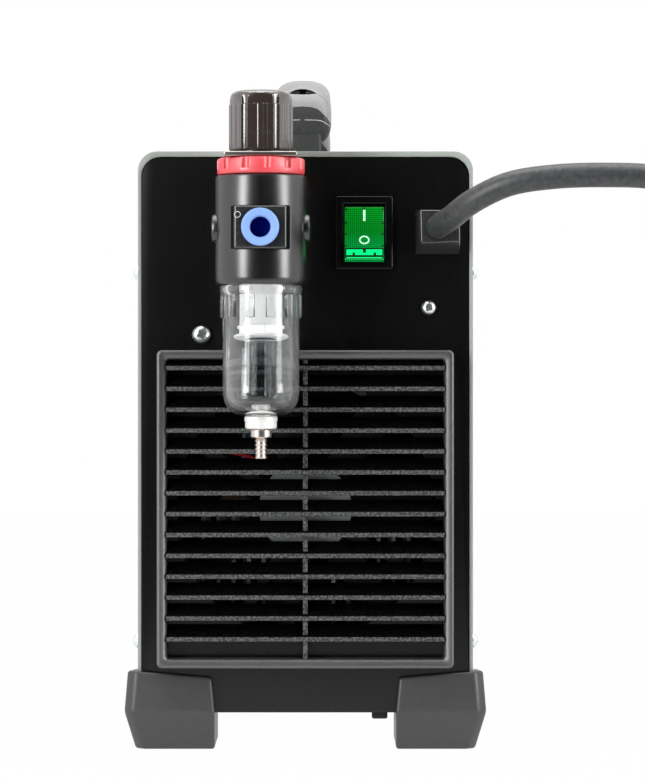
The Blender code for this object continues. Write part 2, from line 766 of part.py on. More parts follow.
def build_grille():
    """Moulded fan grille: a rounded frame, raked slats and a rib that ties them."""
    inner_width = GRILLE_WIDTH - 2.0 * GRILLE_RIM
    inner_height = GRILLE_HEIGHT - 2.0 * GRILLE_RIM
    y = GRILLE_FRONT + GRILLE_DEPTH / 2.0
    size = (GRILLE_WIDTH, GRILLE_DEPTH, GRILLE_HEIGHT)
    grille = box("fan_grille", size, (0, y, FAN_AXIS_Z), "moulded_black", 0.0018, 3)
    top_slat = FAN_AXIS_Z + SLAT_PITCH * (SLAT_COUNT - 1) / 2.0 + 0.0024
    opening_top = FAN_AXIS_Z + inner_height / 2.0
    opening_bottom = FAN_AXIS_Z - inner_height / 2.0
    gap = SLAT_PITCH - SLAT_EDGE
    for i in range(SLAT_COUNT):
        floor = top_slat - SLAT_EDGE / 2.0 - SLAT_PITCH * i - gap
        outline = grille_gap(floor, gap, GRILLE_DEPTH + 0.001)
        cutter = plate(
            "grille_gap_%02d" % (i + 1), [outline], inner_width, (0, GRILLE_FRONT, 0), "+X"
        )
        cut(grille, cutter)
    low = top_slat + SLAT_EDGE / 2.0
    slope = SLAT_RISE / GRILLE_DEPTH
    run = (opening_top - low) / slope
    outline = [(-0.001, low - slope * 0.001), (run, opening_top), (-0.001, opening_top)]
    cut(grille, plate("grille_gap_00", [outline], inner_width, (0, GRILLE_FRONT, 0), "+X"))
    rib_depth = GRILLE_DEPTH - GRILLE_RIB_SETBACK - 0.0004
    rib = box(
        "grille_rib",
        (GRILLE_RIB, rib_depth, opening_top - opening_bottom + GRILLE_RIM),
        (0.0, GRILLE_FRONT + GRILLE_RIB_SETBACK + rib_depth / 2.0, FAN_AXIS_Z),
    )
    return join(grille, rib)


def fan_corner_places(y):
    half = FAN_HOLE_PITCH / 2.0
    return [(x, y, FAN_AXIS_Z + z) for x in (-half, half) for z in (-half, half)]


def build_fan():
    y = FAN_FACE + FAN_DEPTH / 2.0
    frame = bevelled(
        box("fan_frame", (FAN_SIZE, FAN_DEPTH, FAN_SIZE), (0, y, FAN_AXIS_Z), "moulded_black"),
        0.004,
        2,
        60.0,
    )
    bore = rod("fan_bore", FAN_BORE, FAN_DEPTH * 1.2, (0, y, FAN_AXIS_Z), "-Y", sides=40)
    holes = rod("fan_hole", FAN_HOLE, FAN_DEPTH * 1.4, (0, 0, 0), "-Y", sides=10)
    cut(frame, bore, repeated("fan_hole_cutter", holes, fan_corner_places(y)))
    plate_depth = 0.004
    plate_y = FAN_FACE + 0.001 + plate_depth / 2.0
    seat = rod("motor_seat", FAN_HUB, plate_depth, (0, plate_y, FAN_AXIS_Z), "-Y", sides=32)
    join(frame, seat)
    for angle in (30.0, 120.0):
        reach = (FAN_BORE * 2.02, plate_depth * 0.8, 0.004)
        arm = box("motor_arm_%d" % angle, reach, (0, plate_y, FAN_AXIS_Z))
        arm.rotation_euler = (0.0, math.radians(angle), 0.0)
        join(frame, arm)
    bearing = rod("bearing_bore", 0.004 + RUNNING, 0.02, (0, plate_y, FAN_AXIS_Z), "-Y", sides=16)
    cut(frame, bearing)
    return frame


def build_rotor():
    """Hub with raked blades. Its shaft runs in the frame's motor seat."""
    hub_front = FAN_FACE + 0.005 + 0.001 + RUNNING
    depth = FAN_BACK - 0.002 - hub_front
    mid = hub_front + depth / 2.0
    radius = FAN_HUB - 0.0005
    shaft = 0.004
    profile = [
        (0.0, depth / 2.0 + 0.0045),
        (shaft, depth / 2.0 + 0.0045),
        (shaft, depth / 2.0),
        (radius, depth / 2.0),
        (radius, -depth / 2.0 + 0.002),
        (radius - 0.002, -depth / 2.0),
        (0.0, -depth / 2.0),
    ]
    rotor = frozen(turned("fan_rotor", profile, (0, mid, FAN_AXIS_Z), "-Y", "moulded_black", 32))
    reach = FAN_BORE - 0.0015 - radius + 0.001
    for i in range(FAN_BLADES):
        angle = 2.0 * math.pi * i / FAN_BLADES
        blade = box("blade_%d" % i, (reach, FAN_BLADE_SHEET, 0.017), (0, 0, 0))
        spin = Matrix.Rotation(angle, 4, "Y")
        out = Matrix.Translation((radius - 0.001 + reach / 2.0, 0.0, 0.0))
        rake = Matrix.Rotation(math.radians(38.0), 4, "X")
        blade.matrix_world = Matrix.Translation((0.0, mid, FAN_AXIS_Z)) @ spin @ out @ rake
        join(rotor, blade)
    return rotor


# -------------------------------------------------------------- switch and cord


def rocker_outline(radius, tilt):
    """Side view of a rocker about its pivot: two facets that meet in a shallow V."""
    lip = radius * math.sin(math.radians(15.0))
    out = [(-lip, radius * math.cos(math.radians(15.0)))]
    base = lip - radius * math.cos(math.radians(15.0)) * math.tan(tilt)
    out.append((-base, 0.0))
    out.append((-lip, -radius * math.cos(math.radians(15.0))))
    out += arc(radius, 270.0 - 5.0, 270.0 + 25.0, 4)
    out += arc(radius, 90.0 - 25.0, 90.0 + 5.0, 4)
    return out


def build_switch():
    """Illuminated rocker switch, pressed in at the top as it is when the unit is on."""
    pivot_y = REAR - SWITCH_PROUD + 0.0012
    bezel_y = REAR - CLEAR - SWITCH_PROUD / 2.0
    size = (SWITCH_WIDTH, SWITCH_PROUD, SWITCH_HEIGHT)
    bezel = box("switch_bezel", size, (SWITCH_X, bezel_y, SWITCH_Z), "gloss_black", 0.0008)
    body = box(
        "switch_body",
        (SWITCH_WIDTH - 0.003, SWITCH_BODY_DEPTH, SWITCH_HEIGHT - 0.004),
        (SWITCH_X, REAR - SWITCH_PROUD * 0.6 + SWITCH_BODY_DEPTH / 2.0, SWITCH_Z),
    )
    join(bezel, body)
    swept = ROCKER_RADIUS + RUNNING
    window = box(
        "switch_window",
        (ROCKER_WIDTH + 2.0 * RUNNING, 0.017, 2.0 * swept),
        (SWITCH_X, REAR - 0.001, SWITCH_Z),
    )
    cut(bezel, window)
    rocker = plate(
        "switch_rocker",
        [rocker_outline(ROCKER_RADIUS, ROCKER_TILT)],
        ROCKER_WIDTH,
        (SWITCH_X, pivot_y, SWITCH_Z),
        "+X",
        "lit_green",
    )
    rocker.rotation_euler.rotate(Euler((-ROCKER_TILT, 0.0, 0.0)))
    bevelled(rocker, 0.0004, 1)
    hole = box(
        "switch_hole",
        (SWITCH_WIDTH - 0.003 + 2 * CLEAR, 0.02, SWITCH_HEIGHT - 0.004 + 2 * CLEAR),
        (SWITCH_X, REAR, SWITCH_Z),
    )
    return hole


def build_gland():
    """Square cord entry: a block that narrows towards the cord, with a neck in the panel."""
    half = GLAND_SIZE / 2.0
    bm = bmesh.new()
    bmesh.ops.create_cube(bm, size=1.0)
    bmesh.ops.scale(bm, vec=(GLAND_SIZE, GLAND_PROUD, GLAND_SIZE), verts=bm.verts)
    for vert in bm.verts:
        if vert.co.y < 0.0:
            vert.co.x += 0.0022 if vert.co.x < 0.0 else -0.0004
            vert.co.z += 0.0044 if vert.co.z < 0.0 else -0.0006
    mesh = bpy.data.meshes.new("cord_gland")
    bm.to_mesh(mesh)
    bm.free()
    at = (GLAND_X, REAR - CLEAR - GLAND_PROUD / 2.0, GLAND_Z)
    gland = bevelled(place("cord_gland", mesh, at, "+Z", "moulded_black"), 0.0008)
    neck = rod("gland_neck", half - 0.003, 0.012, (GLAND_X, REAR + 0.004, GLAND_Z), "-Y", sides=20)
    join(gland, neck)
    hole = rod("gland_hole", half - 0.003 + CLEAR, 0.02, (GLAND_X, REAR, GLAND_Z), "-Y", sides=20)
    return hole


# Route of the free cord: out of the entry, up to the right, then down to the floor
# beside the unit, where it meets the coil. Across from the entry's axis, out from the
# rear panel, and height above the floor for an entry at the first point's height.
CORD_ROUTE = (
    (0.0000, -0.0139, 0.2284),
    (0.0000, -0.0244, 0.2284),
    (0.0046, -0.0365, 0.2312),
    (0.0141, -0.0470, 0.2382),
    (0.0291, -0.0540, 0.2450),
    (0.0481, -0.0580, 0.2478),
    (0.0691, -0.0600, 0.2484),
    (0.0901, -0.0600, 0.2474),
    (0.1101, -0.0590, 0.2420),
    (0.1281, -0.0570, 0.2300),
    (0.1411, -0.0550, 0.2100),
    (0.1491, -0.0520, 0.1800),
    (0.1531, -0.0490, 0.1450),
    (0.1571, -0.0460, 0.1100),
    (0.1631, -0.0430, 0.0760),
    (0.1731, -0.0400, 0.0460),
    (0.1881, -0.0375, 0.0230),
    (0.2081, -0.0360, 0.0095),
    (0.2281, -0.0360, 0.0056),
    (0.2386, -0.0360, 0.0056),
)


def route_place(point):
    """A route point in the part's frame, lowered or raised with the cord entry."""
    across, out, height = point
    share = (height - CORD_ROUTE[-1][2]) / (CORD_ROUTE[0][2] - CORD_ROUTE[-1][2])
    return Vector((GLAND_X + across, REAR + out, CORD_LOW + share * (CORD_ENTRY_Z - CORD_LOW)))


def smooth_route(points, spacing):
    """Points at an even spacing on a smooth curve through the route's own points."""
    knots = [Vector(p) for p in points]
    knots = [knots[0] * 2 - knots[1]] + knots + [knots[-1] * 2 - knots[-2]]
    dense = []
    for a, b, c, d in zip(knots, knots[1:], knots[2:], knots[3:]):
        for i in range(12):
            t = i / 12.0
            dense.append(
                0.5
                * (
                    2 * b
                    + (c - a) * t
                    + (2 * a - 5 * b + 4 * c - d) * t**2
                    + (3 * b - a - 3 * c + d) * t**3
                )
            )
    dense.append(knots[-2])
    length = sum((q - p).length for p, q in zip(dense, dense[1:]))
    count = max(2, round(length / spacing))
    wanted, made, run = length / count, [dense[0]], 0.0
    for p, q in zip(dense, dense[1:]):
        step = (q - p).length
        while run + step >= wanted * len(made) and len(made) < count:
            made.append(p.lerp(q, (wanted * len(made) - run) / step))
        run += step
    return made + [dense[-1]], length


def eased(share):
    return share * share * (3.0 - 2.0 * share)


def coil_points(start):
    """A coil in two layers: it spirals in on the floor, climbs, and spirals out again."""
    lift = 2.0 * CORD_RADIUS + COIL_LIFT
    last_climb = PLUG_RADIUS + CLEAR - start.z - lift
    turns = 2.0 * COIL_TURNS_EACH_WAY + 0.5
    centre = start + Vector((2.0 * CORD_RADIUS, COIL_OUTER_RADIUS, 0.0))
    points = [start]
    count = round(turns * COIL_LOOP_POINTS)
    for i in range(count + 1):
        turn = turns * i / count
        into = min(turn, COIL_TURNS_EACH_WAY)
        out = max(turn - COIL_TURNS_EACH_WAY - 0.5, 0.0)
        climb = min(max((turn - COIL_TURNS_EACH_WAY) / 0.5, 0.0), 1.0)
        reverse = COIL_PITCH * 0.5 * climb * (1.0 - climb)
        radius = COIL_OUTER_RADIUS - COIL_PITCH * (into - out) - reverse
        last = min(max((turn - turns + 0.25) / 0.25, 0.0), 1.0)
        rise = lift * eased(climb) + last_climb * eased(last)
        angle = 2.0 * math.pi * turn - math.pi / 2.0
        points.append(
            centre + Vector((radius * math.cos(angle), radius * math.sin(angle), rise))
        )
    points.append(points[-1] + Vector((-2.0 * CORD_RADIUS, 0.0, 0.0)))
    return points


def least_gap(points, radius):
    """The least gap between two stretches of a tube that aren't next to each other."""
    dense = []
    for p, q in zip(points, points[1:]):
        dense += [p.lerp(q, i / 4.0) for i in range(4)]
    runs = [0.0]
    for p, q in zip(dense, dense[1:]):
        runs.append(runs[-1] + (q - p).length)
    gap = math.inf
    for i, p in enumerate(dense):
        for j in range(i + 1, len(dense)):
            if runs[j] - runs[i] > 8.0 * radius:
                gap = min(gap, (dense[j] - p).length - 2.0 * radius)
    return gap


def build_cord():
    start, *bends, end = [route_place(point) for point in CORD_ROUTE]
    route, free = smooth_route(bends, 4.4 * CORD_RADIUS)
    tube("mains_cord", [start, *route, end], CORD_RADIUS, "cord_rubber", 2)
    loops = coil_points(end + Vector((CLEAR, 0.0, 0.0)))
    tube("mains_coil", loops, CORD_RADIUS, "cord_rubber", 1)
    wound = sum((q - p).length for p, q in zip(loops, loops[1:]))
    gap = least_gap(loops, CORD_RADIUS)
    print("cord %.3f m free, %.3f m wound, least gap %.2f mm" % (free, wound, gap * 1000))
    build_plug(loops[-1])


def build_plug(end):
    """Round earthed plug that lies on the floor, its pins pointing away from the coil."""
    axis = PLUG_RADIUS + CLEAR
    sleeve_start = 0.0003
    back = sleeve_start + PLUG_SLEEVE
    head = back + PLUG_LENGTH
    profile = [
        (0.0, head),
        (0.0165, head),
        (0.0180, head - 0.002),
        (PLUG_RADIUS, head - 0.004),
        (PLUG_RADIUS, head - 0.014),
        (0.0170, head - 0.020),
        (0.0120, back + 0.002),
        (0.0085, back),
        (CORD_RADIUS + 0.0012, sleeve_start + 0.001),
        (CORD_RADIUS + 0.0006, sleeve_start),
        (0.0, sleeve_start),
    ]
    plug = turned("mains_plug", profile, (end.x, end.y, axis), "-X", "moulded_black", 32)
    x = end.x - head - CLEAR - PIN_LENGTH / 2.0
    for label, side in (("near", -1), ("far", 1)):
        at = (x, end.y + side * PIN_SPACING / 2.0, axis)
        rod("plug_pin_" + label, PIN_RADIUS, PIN_LENGTH, at, "-X", "bright_nickel", 16)
    return plug


# ------------------------------------------------------------ filter-regulator


def build_regulator_body():
    profile = [
        (0.0, REG_BODY_TOP),
        (REG_BODY_RADIUS - 0.0008, REG_BODY_TOP),
        (REG_BODY_RADIUS, REG_BODY_TOP - 0.0008),
        (REG_BODY_RADIUS, REG_BODY_BOTTOM + 0.0006),
        (REG_BODY_RADIUS - 0.0006, REG_BODY_BOTTOM),
        (0.0, REG_BODY_BOTTOM),
    ]
    body = turned("regulator_body", profile, (REG_X, REG_Y, 0.0), "+Z", "gloss_black", 40)
    pocket = box(
        "port_pocket",
        (PORT_POCKET, 0.012, PORT_HEIGHT + 2 * CLEAR),
        (REG_X, REG_Y - 0.015 - 0.006, PORT_Z),
    )
    sockets = rod("plug_socket", 0.005 + CLEAR, 0.016, (0, 0, 0), "+X", sides=20)
    side = REG_BODY_RADIUS
    sockets = repeated(
        "plug_socket_cutter", sockets, [(REG_X + s * side, REG_Y, PORT_Z) for s in (-1, 1)]
    )
    at = (REG_X, REG_Y + side, PORT_Z)
    outlet = rod("outlet_socket", OUTLET_RADIUS + CLEAR, 0.014, at, "+Y", sides=20)
    cut(body, pocket, sockets, outlet)
    flats = rod("plug_flat", PLUG_BOSS_RADIUS + 0.0004, 0.004, (0, 0, 0), "+X", sides=24)
    reach = side - 0.0012 + 0.002
    places = [(REG_X + s * reach, REG_Y, PORT_Z) for s in (-1, 1)]
    return cut(body, repeated("plug_flat_cutter", flats, places))


def build_port_plugs():
    seat = REG_BODY_RADIUS - 0.0012 + CLEAR
    profile = [
        (0.0, 0.0006),
        (0.0024, 0.0006),
        (0.0024, 0.0024),
        (PLUG_BOSS_RADIUS - 0.0008, 0.0024),
        (PLUG_BOSS_RADIUS, 0.0016),
        (PLUG_BOSS_RADIUS, 0.0),
        (0.005, 0.0),
        (0.005, -0.005),
        (0.0, -0.005),
    ]
    for side, facing, label in ((-1, "-X", "left"), (1, "+X", "right")):
        at = (REG_X + side * seat, REG_Y, PORT_Z)
        turned("port_plug_" + label, profile, at, facing, "gloss_black", 20)


def build_inlet():
    """Square push-in block with the blue collar that lets the hose go."""
    back = REG_Y - 0.015 - CLEAR
    face = REG_Y - PORT_REACH
    mid = (back + face) / 2.0
    size = (PORT_WIDTH, back - face, PORT_HEIGHT)
    block = box("inlet_block", size, (REG_X, mid, PORT_Z), "moulded_black", 0.0005, 1)
    throat = COLLAR_RADIUS - 0.0016
    bore = rod("inlet_bore", throat + RUNNING, 0.02, (REG_X, face, PORT_Z), "-Y", sides=28)
    bore.location.y = back - 0.0008 - 0.01
    cut(block, bore)
    deep = back - 0.0008 - face
    travel = 0.0016
    profile = [
        (COLLAR_RADIUS - 0.0006, COLLAR_PROUD),
        (COLLAR_RADIUS, COLLAR_PROUD - 0.0006),
        (COLLAR_RADIUS, travel + CLEAR),
        (throat, travel + CLEAR),
        (throat, -deep + travel + 2 * CLEAR),
        (COLLAR_BORE, -deep + travel + 2 * CLEAR),
        (COLLAR_BORE, COLLAR_PROUD - 0.0008),
        (COLLAR_BORE + 0.0008, COLLAR_PROUD),
    ]
    turned("release_collar", profile, (REG_X, face, PORT_Z), "-Y", "collar_blue", 32, True)
    return block


def knob_places(radius, angles, z):
    """Places round the regulator's axis, at angles in degrees from +X."""
    return [
        (
            REG_X + radius * math.cos(math.radians(angle)),
            REG_Y + radius * math.sin(math.radians(angle)),
            z,
        )
        for angle in angles
    ]


def build_top_works():
    """Bonnet, red ring, bracket, spindle and the pull-up knob."""
    at = (REG_X, REG_Y, 0.0)
    bonnet = [
        (0.0, RING_BOTTOM + 0.006),
        (SPINDLE_RADIUS + RUNNING, RING_BOTTOM + 0.006),
        (SPINDLE_RADIUS + RUNNING, BONNET_TOP),
        (BONNET_NECK, BONNET_TOP),
        (BONNET_NECK, KNOB_BOTTOM - CLEAR),
        (BONNET_RADIUS, KNOB_BOTTOM - CLEAR),
        (BONNET_RADIUS, RING_BOTTOM),
        (0.0, RING_BOTTOM),
    ]
    turned("regulator_bonnet", bonnet, at, "+Z", "gloss_black", 28)
    inner = BONNET_RADIUS + CLEAR
    ring = [
        (RING_RADIUS - 0.0008, RING_TOP),
        (RING_RADIUS, RING_TOP - 0.0008),
        (RING_RADIUS, RING_BOTTOM + 0.0008),
        (RING_RADIUS - 0.0008, RING_BOTTOM),
        (inner, RING_BOTTOM),
        (inner, RING_TOP),
    ]
    lock = turned("lock_ring", ring, at, "+Z", "ring_red", 40, True)
    notch = rod("notch", RING_NOTCH_RADIUS, 2.0 * RING_NOTCH_DROP, (0, 0, 0), "+Z", sides=16)
    angles = [12.0 - 90.0 + 360.0 * i / RING_NOTCHES for i in range(RING_NOTCHES)]
    places = knob_places(RING_RADIUS + 0.0014, angles, RING_TOP)
    cut(lock, repeated("notch_cutter", notch, places))
    spindle = [
        (0.0, KNOB_TOP - 0.0046),
        (SPINDLE_RADIUS, KNOB_TOP - 0.0046),
        (SPINDLE_RADIUS, RING_BOTTOM + 0.006 + CLEAR),
        (0.0, RING_BOTTOM + 0.006 + CLEAR),
    ]
    turned("regulator_spindle", spindle, at, "+Z", "bright_nickel", 16)


def build_knob():
    """Hollow knob with grooved grips: it lifts to unlock and then turns the spindle."""
    at = (REG_X, REG_Y, KNOB_BOTTOM)
    height = KNOB_HEIGHT
    cavity = KNOB_RADIUS - KNOB_WALL
    hub = SPINDLE_RADIUS + RUNNING
    profile = [
        (0.0, height - 0.0008),
        (KNOB_RADIUS - 0.005, height - 0.0008),
        (KNOB_RADIUS - 0.004, height),
        (KNOB_RADIUS - 0.002, height),
        (KNOB_RADIUS - 0.0006, height - 0.0012),
        (KNOB_RADIUS, height - 0.0030),
        (KNOB_RADIUS, 0.0014),
        (KNOB_RADIUS - 0.0005, 0.0),
        (cavity, 0.0),
        (cavity, height - 0.0034),
        (hub + 0.0025, height - 0.0034),
        (hub + 0.0025, height - 0.0120),
        (hub, height - 0.0120),
        (hub, height - 0.0034),
        (0.0, height - 0.0034),
    ]
    knob = turned("regulator_knob", profile, at, "+Z", "knob_brown", 36)
    middles = [360.0 * i / KNOB_GRIPS - 90.0 for i in range(KNOB_GRIPS)]
    between = [middle + 180.0 / KNOB_GRIPS for middle in middles]
    channel = rod("channel", KNOB_CHANNEL_RADIUS, height * 3.0, (0, 0, 0), "+Z", sides=12)
    places = knob_places(KNOB_RADIUS + 0.0007, between, KNOB_BOTTOM)
    channels = repeated("channel_cutter", channel, places)
    groove = rod("groove", KNOB_GROOVE_RADIUS, 2.0 * KNOB_GRIP_HEIGHT, (0, 0, 0), "+Z", sides=12)
    angles = [middle + side * KNOB_GROOVE_ANGLE for middle in middles for side in (-1, 1)]
    places = knob_places(KNOB_RADIUS + 0.0010, angles, KNOB_BOTTOM)
    return cut(knob, channels, repeated("groove_cutter", groove, places))


def build_bracket():
    """Folded bracket: a tongue round the bonnet and a leg down the rear panel."""
    reach = REG_OFFSET + BRACKET_WIDTH / 2.0
    leg_y = REAR - CLEAR
    bm = bmesh.new()
    side = [
        (leg_y - reach + 0.0005, BRACKET_TOP),
        (leg_y, BRACKET_TOP),
        (leg_y, BRACKET_TOP - BRACKET_LEG),
    ]
    verts = [bm.verts.new((REG_X - BRACKET_WIDTH / 2.0, y, z)) for y, z in side]
    edges = [bm.edges.new(pair) for pair in zip(verts, verts[1:])]
    made = bmesh.ops.extrude_edge_only(bm, edges=edges)
    pulled = [v for v in made["geom"] if isinstance(v, bmesh.types.BMVert)]
    bmesh.ops.translate(bm, vec=(BRACKET_WIDTH, 0.0, 0.0), verts=pulled)
    corner = Vector((0.0, leg_y, BRACKET_TOP))
    fold = [
        edge
        for edge in bm.edges
        if all((Vector((0.0, vert.co.y, vert.co.z)) - corner).length < 1e-6 for vert in edge.verts)
    ]
    bend = BRACKET_SHEET * 1.5
    bmesh.ops.bevel(bm, geom=fold, offset=bend, segments=3, profile=0.5, affect="EDGES")
    top = max(bm.faces, key=lambda f: f.calc_center_median().z)
    top.normal_update()
    if top.normal.z < 0.0:
        bmesh.ops.reverse_faces(bm, faces=bm.faces)
    mesh = bpy.data.meshes.new("regulator_bracket")
    bm.to_mesh(mesh)
    bm.free()
    bracket = place("regulator_bracket", mesh, (0, 0, 0), "+Z", "zinc")
    wall = bracket.modifiers.new("Sheet", "SOLIDIFY")
    wall.thickness = BRACKET_SHEET
    wall.offset = -1.0
    wall.use_even_offset = True
    at = (REG_X, REG_Y, BRACKET_TOP)
    hole = rod("bonnet_hole", BONNET_RADIUS + CLEAR, 0.02, at, "+Z", sides=28)
    slot = rod("outlet_slot", OUTLET_RADIUS + CLEAR, 0.02, (REG_X, REAR, PORT_Z), "-Y", sides=20)
    return cut(bracket, hole, slot)


def bowl_arc(radius, bottom, centre_z):
    """The rounded bottom of the bowl, from its side down to its flat."""
    flat = radius * 0.52
    made = []
    for angle in (0.0, 30.0, 60.0, 90.0):
        across, down = math.cos(math.radians(angle)), math.sin(math.radians(angle))
        made.append((flat + (radius - flat) * across, centre_z - (centre_z - bottom) * down))
    return made


def build_bowl():
    at = (REG_X, REG_Y, 0.0)
    stem = 0.0042 + CLEAR
    inner = BOWL_RADIUS - BOWL_WALL
    knee = BOWL_BOTTOM + 0.010
    outer_side = [
        (BOWL_RING_RADIUS, BOWL_TOP),
        (BOWL_RING_RADIUS, BOWL_TOP - 0.0036),
        (BOWL_RING_RADIUS - 0.0005, BOWL_TOP - 0.0038),
        (BOWL_RING_RADIUS - 0.0005, BOWL_TOP - 0.0141),
        (BOWL_RADIUS, BOWL_TOP - 0.0148),
        *bowl_arc(BOWL_RADIUS, BOWL_BOTTOM, knee),
        (stem, BOWL_BOTTOM),
    ]
    inner_side = [
        (stem, BOWL_BOTTOM + BOWL_WALL),
        *reversed(bowl_arc(inner, BOWL_BOTTOM + BOWL_WALL, knee)),
        (inner, BOWL_TOP),
    ]
    turned("filter_bowl", outer_side + inner_side, at, "+Z", "clear_bowl", 32, True)
    flange = BOWL_TOP - ELEMENT_LENGTH
    neck_end = flange - 0.0046
    disc = neck_end - 0.0012
    separator = [
        (0.0, BOWL_TOP),
        (ELEMENT_RADIUS, BOWL_TOP),
        (ELEMENT_RADIUS, flange),
        (ELEMENT_RADIUS + 0.0010, flange - 0.0006),
        (ELEMENT_RADIUS * 0.55, flange - 0.0012),
        (ELEMENT_RADIUS * 0.55, neck_end),
        (BAFFLE_RADIUS, neck_end),
        (BAFFLE_RADIUS, disc),
        (0.0, disc),
    ]
    turned("bowl_separator", separator, at, "+Z", "white_plastic", 24)
    shield_top = disc - CLEAR
    shield = [
        (0.0, shield_top),
        (SHIELD_RADIUS, shield_top),
        (SHIELD_RADIUS, shield_top - SHIELD_LENGTH),
        (SHIELD_RADIUS - 0.0012, shield_top - SHIELD_LENGTH),
        (SHIELD_RADIUS - 0.0012, shield_top - 0.0012),
        (0.0, shield_top - 0.0012),
    ]
    turned("bowl_shield", shield, at, "+Z", "clear_bowl", 20)
    nut_top = BOWL_BOTTOM - CLEAR
    nut_low = nut_top - DRAIN_NUT_HEIGHT
    bore = 0.0016 + RUNNING
    nut = [
        (bore, BOWL_BOTTOM + BOWL_WALL + 0.0016),
        (0.0042, BOWL_BOTTOM + BOWL_WALL + 0.0016),
        (0.0042, nut_top),
        (DRAIN_NUT_RADIUS, nut_top),
        (DRAIN_NUT_RADIUS, nut_low + 0.0006),
        (DRAIN_NUT_RADIUS - 0.0006, nut_low),
        (bore, nut_low),
    ]
    turned("drain_nut", nut, at, "+Z", "bright_nickel", 24, True)
    collar_top = nut_low - CLEAR
    collar_low = collar_top - 0.0036
    drain = [
        (0.0, BOWL_BOTTOM + BOWL_WALL),
        (0.0016, BOWL_BOTTOM + BOWL_WALL),
        (0.0016, collar_top),
        (DRAIN_COLLAR_RADIUS, collar_top),
        (DRAIN_COLLAR_RADIUS, collar_low + 0.0004),
        (DRAIN_COLLAR_RADIUS - 0.0004, collar_low),
    ]
    rib = 0.0018
    for i in range(DRAIN_BARB_RIBS):
        z = collar_low - rib * i
        drain += [(DRAIN_BARB_RADIUS - 0.0004, z), (DRAIN_BARB_RADIUS, z - rib * 0.6)]
    end = collar_low - rib * DRAIN_BARB_RIBS
    drain += [(DRAIN_BARB_RADIUS - 0.0007, end), (0.0, end)]
    turned("drain_cock", drain, at, "+Z", "bright_nickel", 14)


def build_air_line():
    """Outlet nipple through the panel and past the fan, an elbow, the hose and the air valve."""
    start = REG_Y + REG_BODY_RADIUS - 0.0064
    end = FAN_BACK + 0.003
    at = (REG_X, (start + end) / 2.0, PORT_Z)
    rod("outlet_nipple", OUTLET_RADIUS, end - start, at, "+Y", "brass", 20)
    hole = rod("outlet_hole", OUTLET_RADIUS + CLEAR, 0.02, (REG_X, REAR, PORT_Z), "+Y", sides=20)
    elbow_y = end + CLEAR + ELBOW_SIZE / 2.0
    size = (ELBOW_SIZE, ELBOW_SIZE, ELBOW_SIZE)
    elbow = box("outlet_elbow", size, (REG_X, elbow_y, PORT_Z), "brass", 0.002)
    spigot_z = PORT_Z - ELBOW_SIZE / 2.0 - SPIGOT_LENGTH / 2.0 + 0.001
    join(
        elbow,
        rod("elbow_spigot", HOSE_RADIUS, SPIGOT_LENGTH, (REG_X, elbow_y, spigot_z), "+Z", sides=16),
    )
    valve_y = FRONT - 0.045
    valve_x = -TORCH_X + 0.006
    valve_z = BASE_TOP + CLEAR + VALVE_SIZE / 2.0
    size = (VALVE_SIZE, VALVE_SIZE, VALVE_SIZE)
    valve = box("air_valve", size, (valve_x, valve_y, valve_z), "brass", 0.0015)
    spigot_y = valve_y - VALVE_SIZE / 2.0 - SPIGOT_LENGTH / 2.0 + 0.001
    at = (valve_x, spigot_y, valve_z)
    join(valve, rod("valve_spigot", HOSE_RADIUS, SPIGOT_LENGTH, at, "-Y", sides=16))
    coil_z = valve_z + VALVE_SIZE / 2.0 + CLEAR + VALVE_COIL_HEIGHT / 2.0
    at = (valve_x, valve_y, coil_z)
    rod("valve_coil", VALVE_COIL_RADIUS, VALVE_COIL_HEIGHT, at, "+Z", "moulded_black", 24)
    hose_top = spigot_z - SPIGOT_LENGTH / 2.0 - CLEAR
    hose_end = spigot_y - SPIGOT_LENGTH / 2.0 - CLEAR
    run_z = PORT_Z - HOSE_DROP
    bend = HOSE_BEND
    route = [
        (REG_X, elbow_y, hose_top),
        (REG_X, elbow_y, hose_top - bend),
        (REG_X, elbow_y + 0.4 * bend, hose_top - 2.4 * bend),
        (REG_X, elbow_y + 1.8 * bend, run_z + 0.4 * bend),
        (REG_X, elbow_y + 4.5 * bend, run_z),
        (REG_X, MIDDLE - 0.4 * bend, run_z - 0.2 * bend),
        (REG_X, MIDDLE + 2.5 * bend, run_z - 0.6 * bend),
        (valve_x, MIDDLE + 5.2 * bend, run_z - 3.0 * bend),
        (valve_x, MIDDLE + 6.2 * bend, run_z - 7.0 * bend),
        (valve_x, MIDDLE + 6.6 * bend, valve_z + 4.0 * bend),
        (valve_x, MIDDLE + 7.6 * bend, valve_z + bend),
        (valve_x, hose_end - bend, valve_z),
        (valve_x, hose_end, valve_z),
    ]
    points, _ = smooth_route(route, 3.0 * HOSE_RADIUS)
    tube("air_hose", points, HOSE_RADIUS, "collar_blue", 2)
    return hole


# ----------------------------------------------------------------------- handle


def handle_screw_places(z):
    y = HANDLE_LENGTH / 2.0 - HANDLE_BULB / 2.0
    return [(HANDLE_X, MIDDLE - y, z), (HANDLE_X, MIDDLE + y, z)]


def handle_ring(bm, y, low, high, half_width):
    """One cross-section: a full dome above its middle and a squarer belly below."""
    middle, half_height = (high + low) / 2.0, (high - low) / 2.0
    verts = []
    for i in range(24):
        across, up = math.cos(math.tau * i / 24), math.sin(math.tau * i / 24)
        power = 2.0 / (2.6 if up > 0.0 else 3.6)
        x = half_width * math.copysign(abs(across) ** power, across)
        z = middle + half_height * math.copysign(abs(up) ** power, up)
        verts.append(bm.verts.new((HANDLE_X + x, y, CASE_TOP + z)))
    return [bm.edges.new(pair) for pair in zip(verts, verts[1:] + verts[:1])]


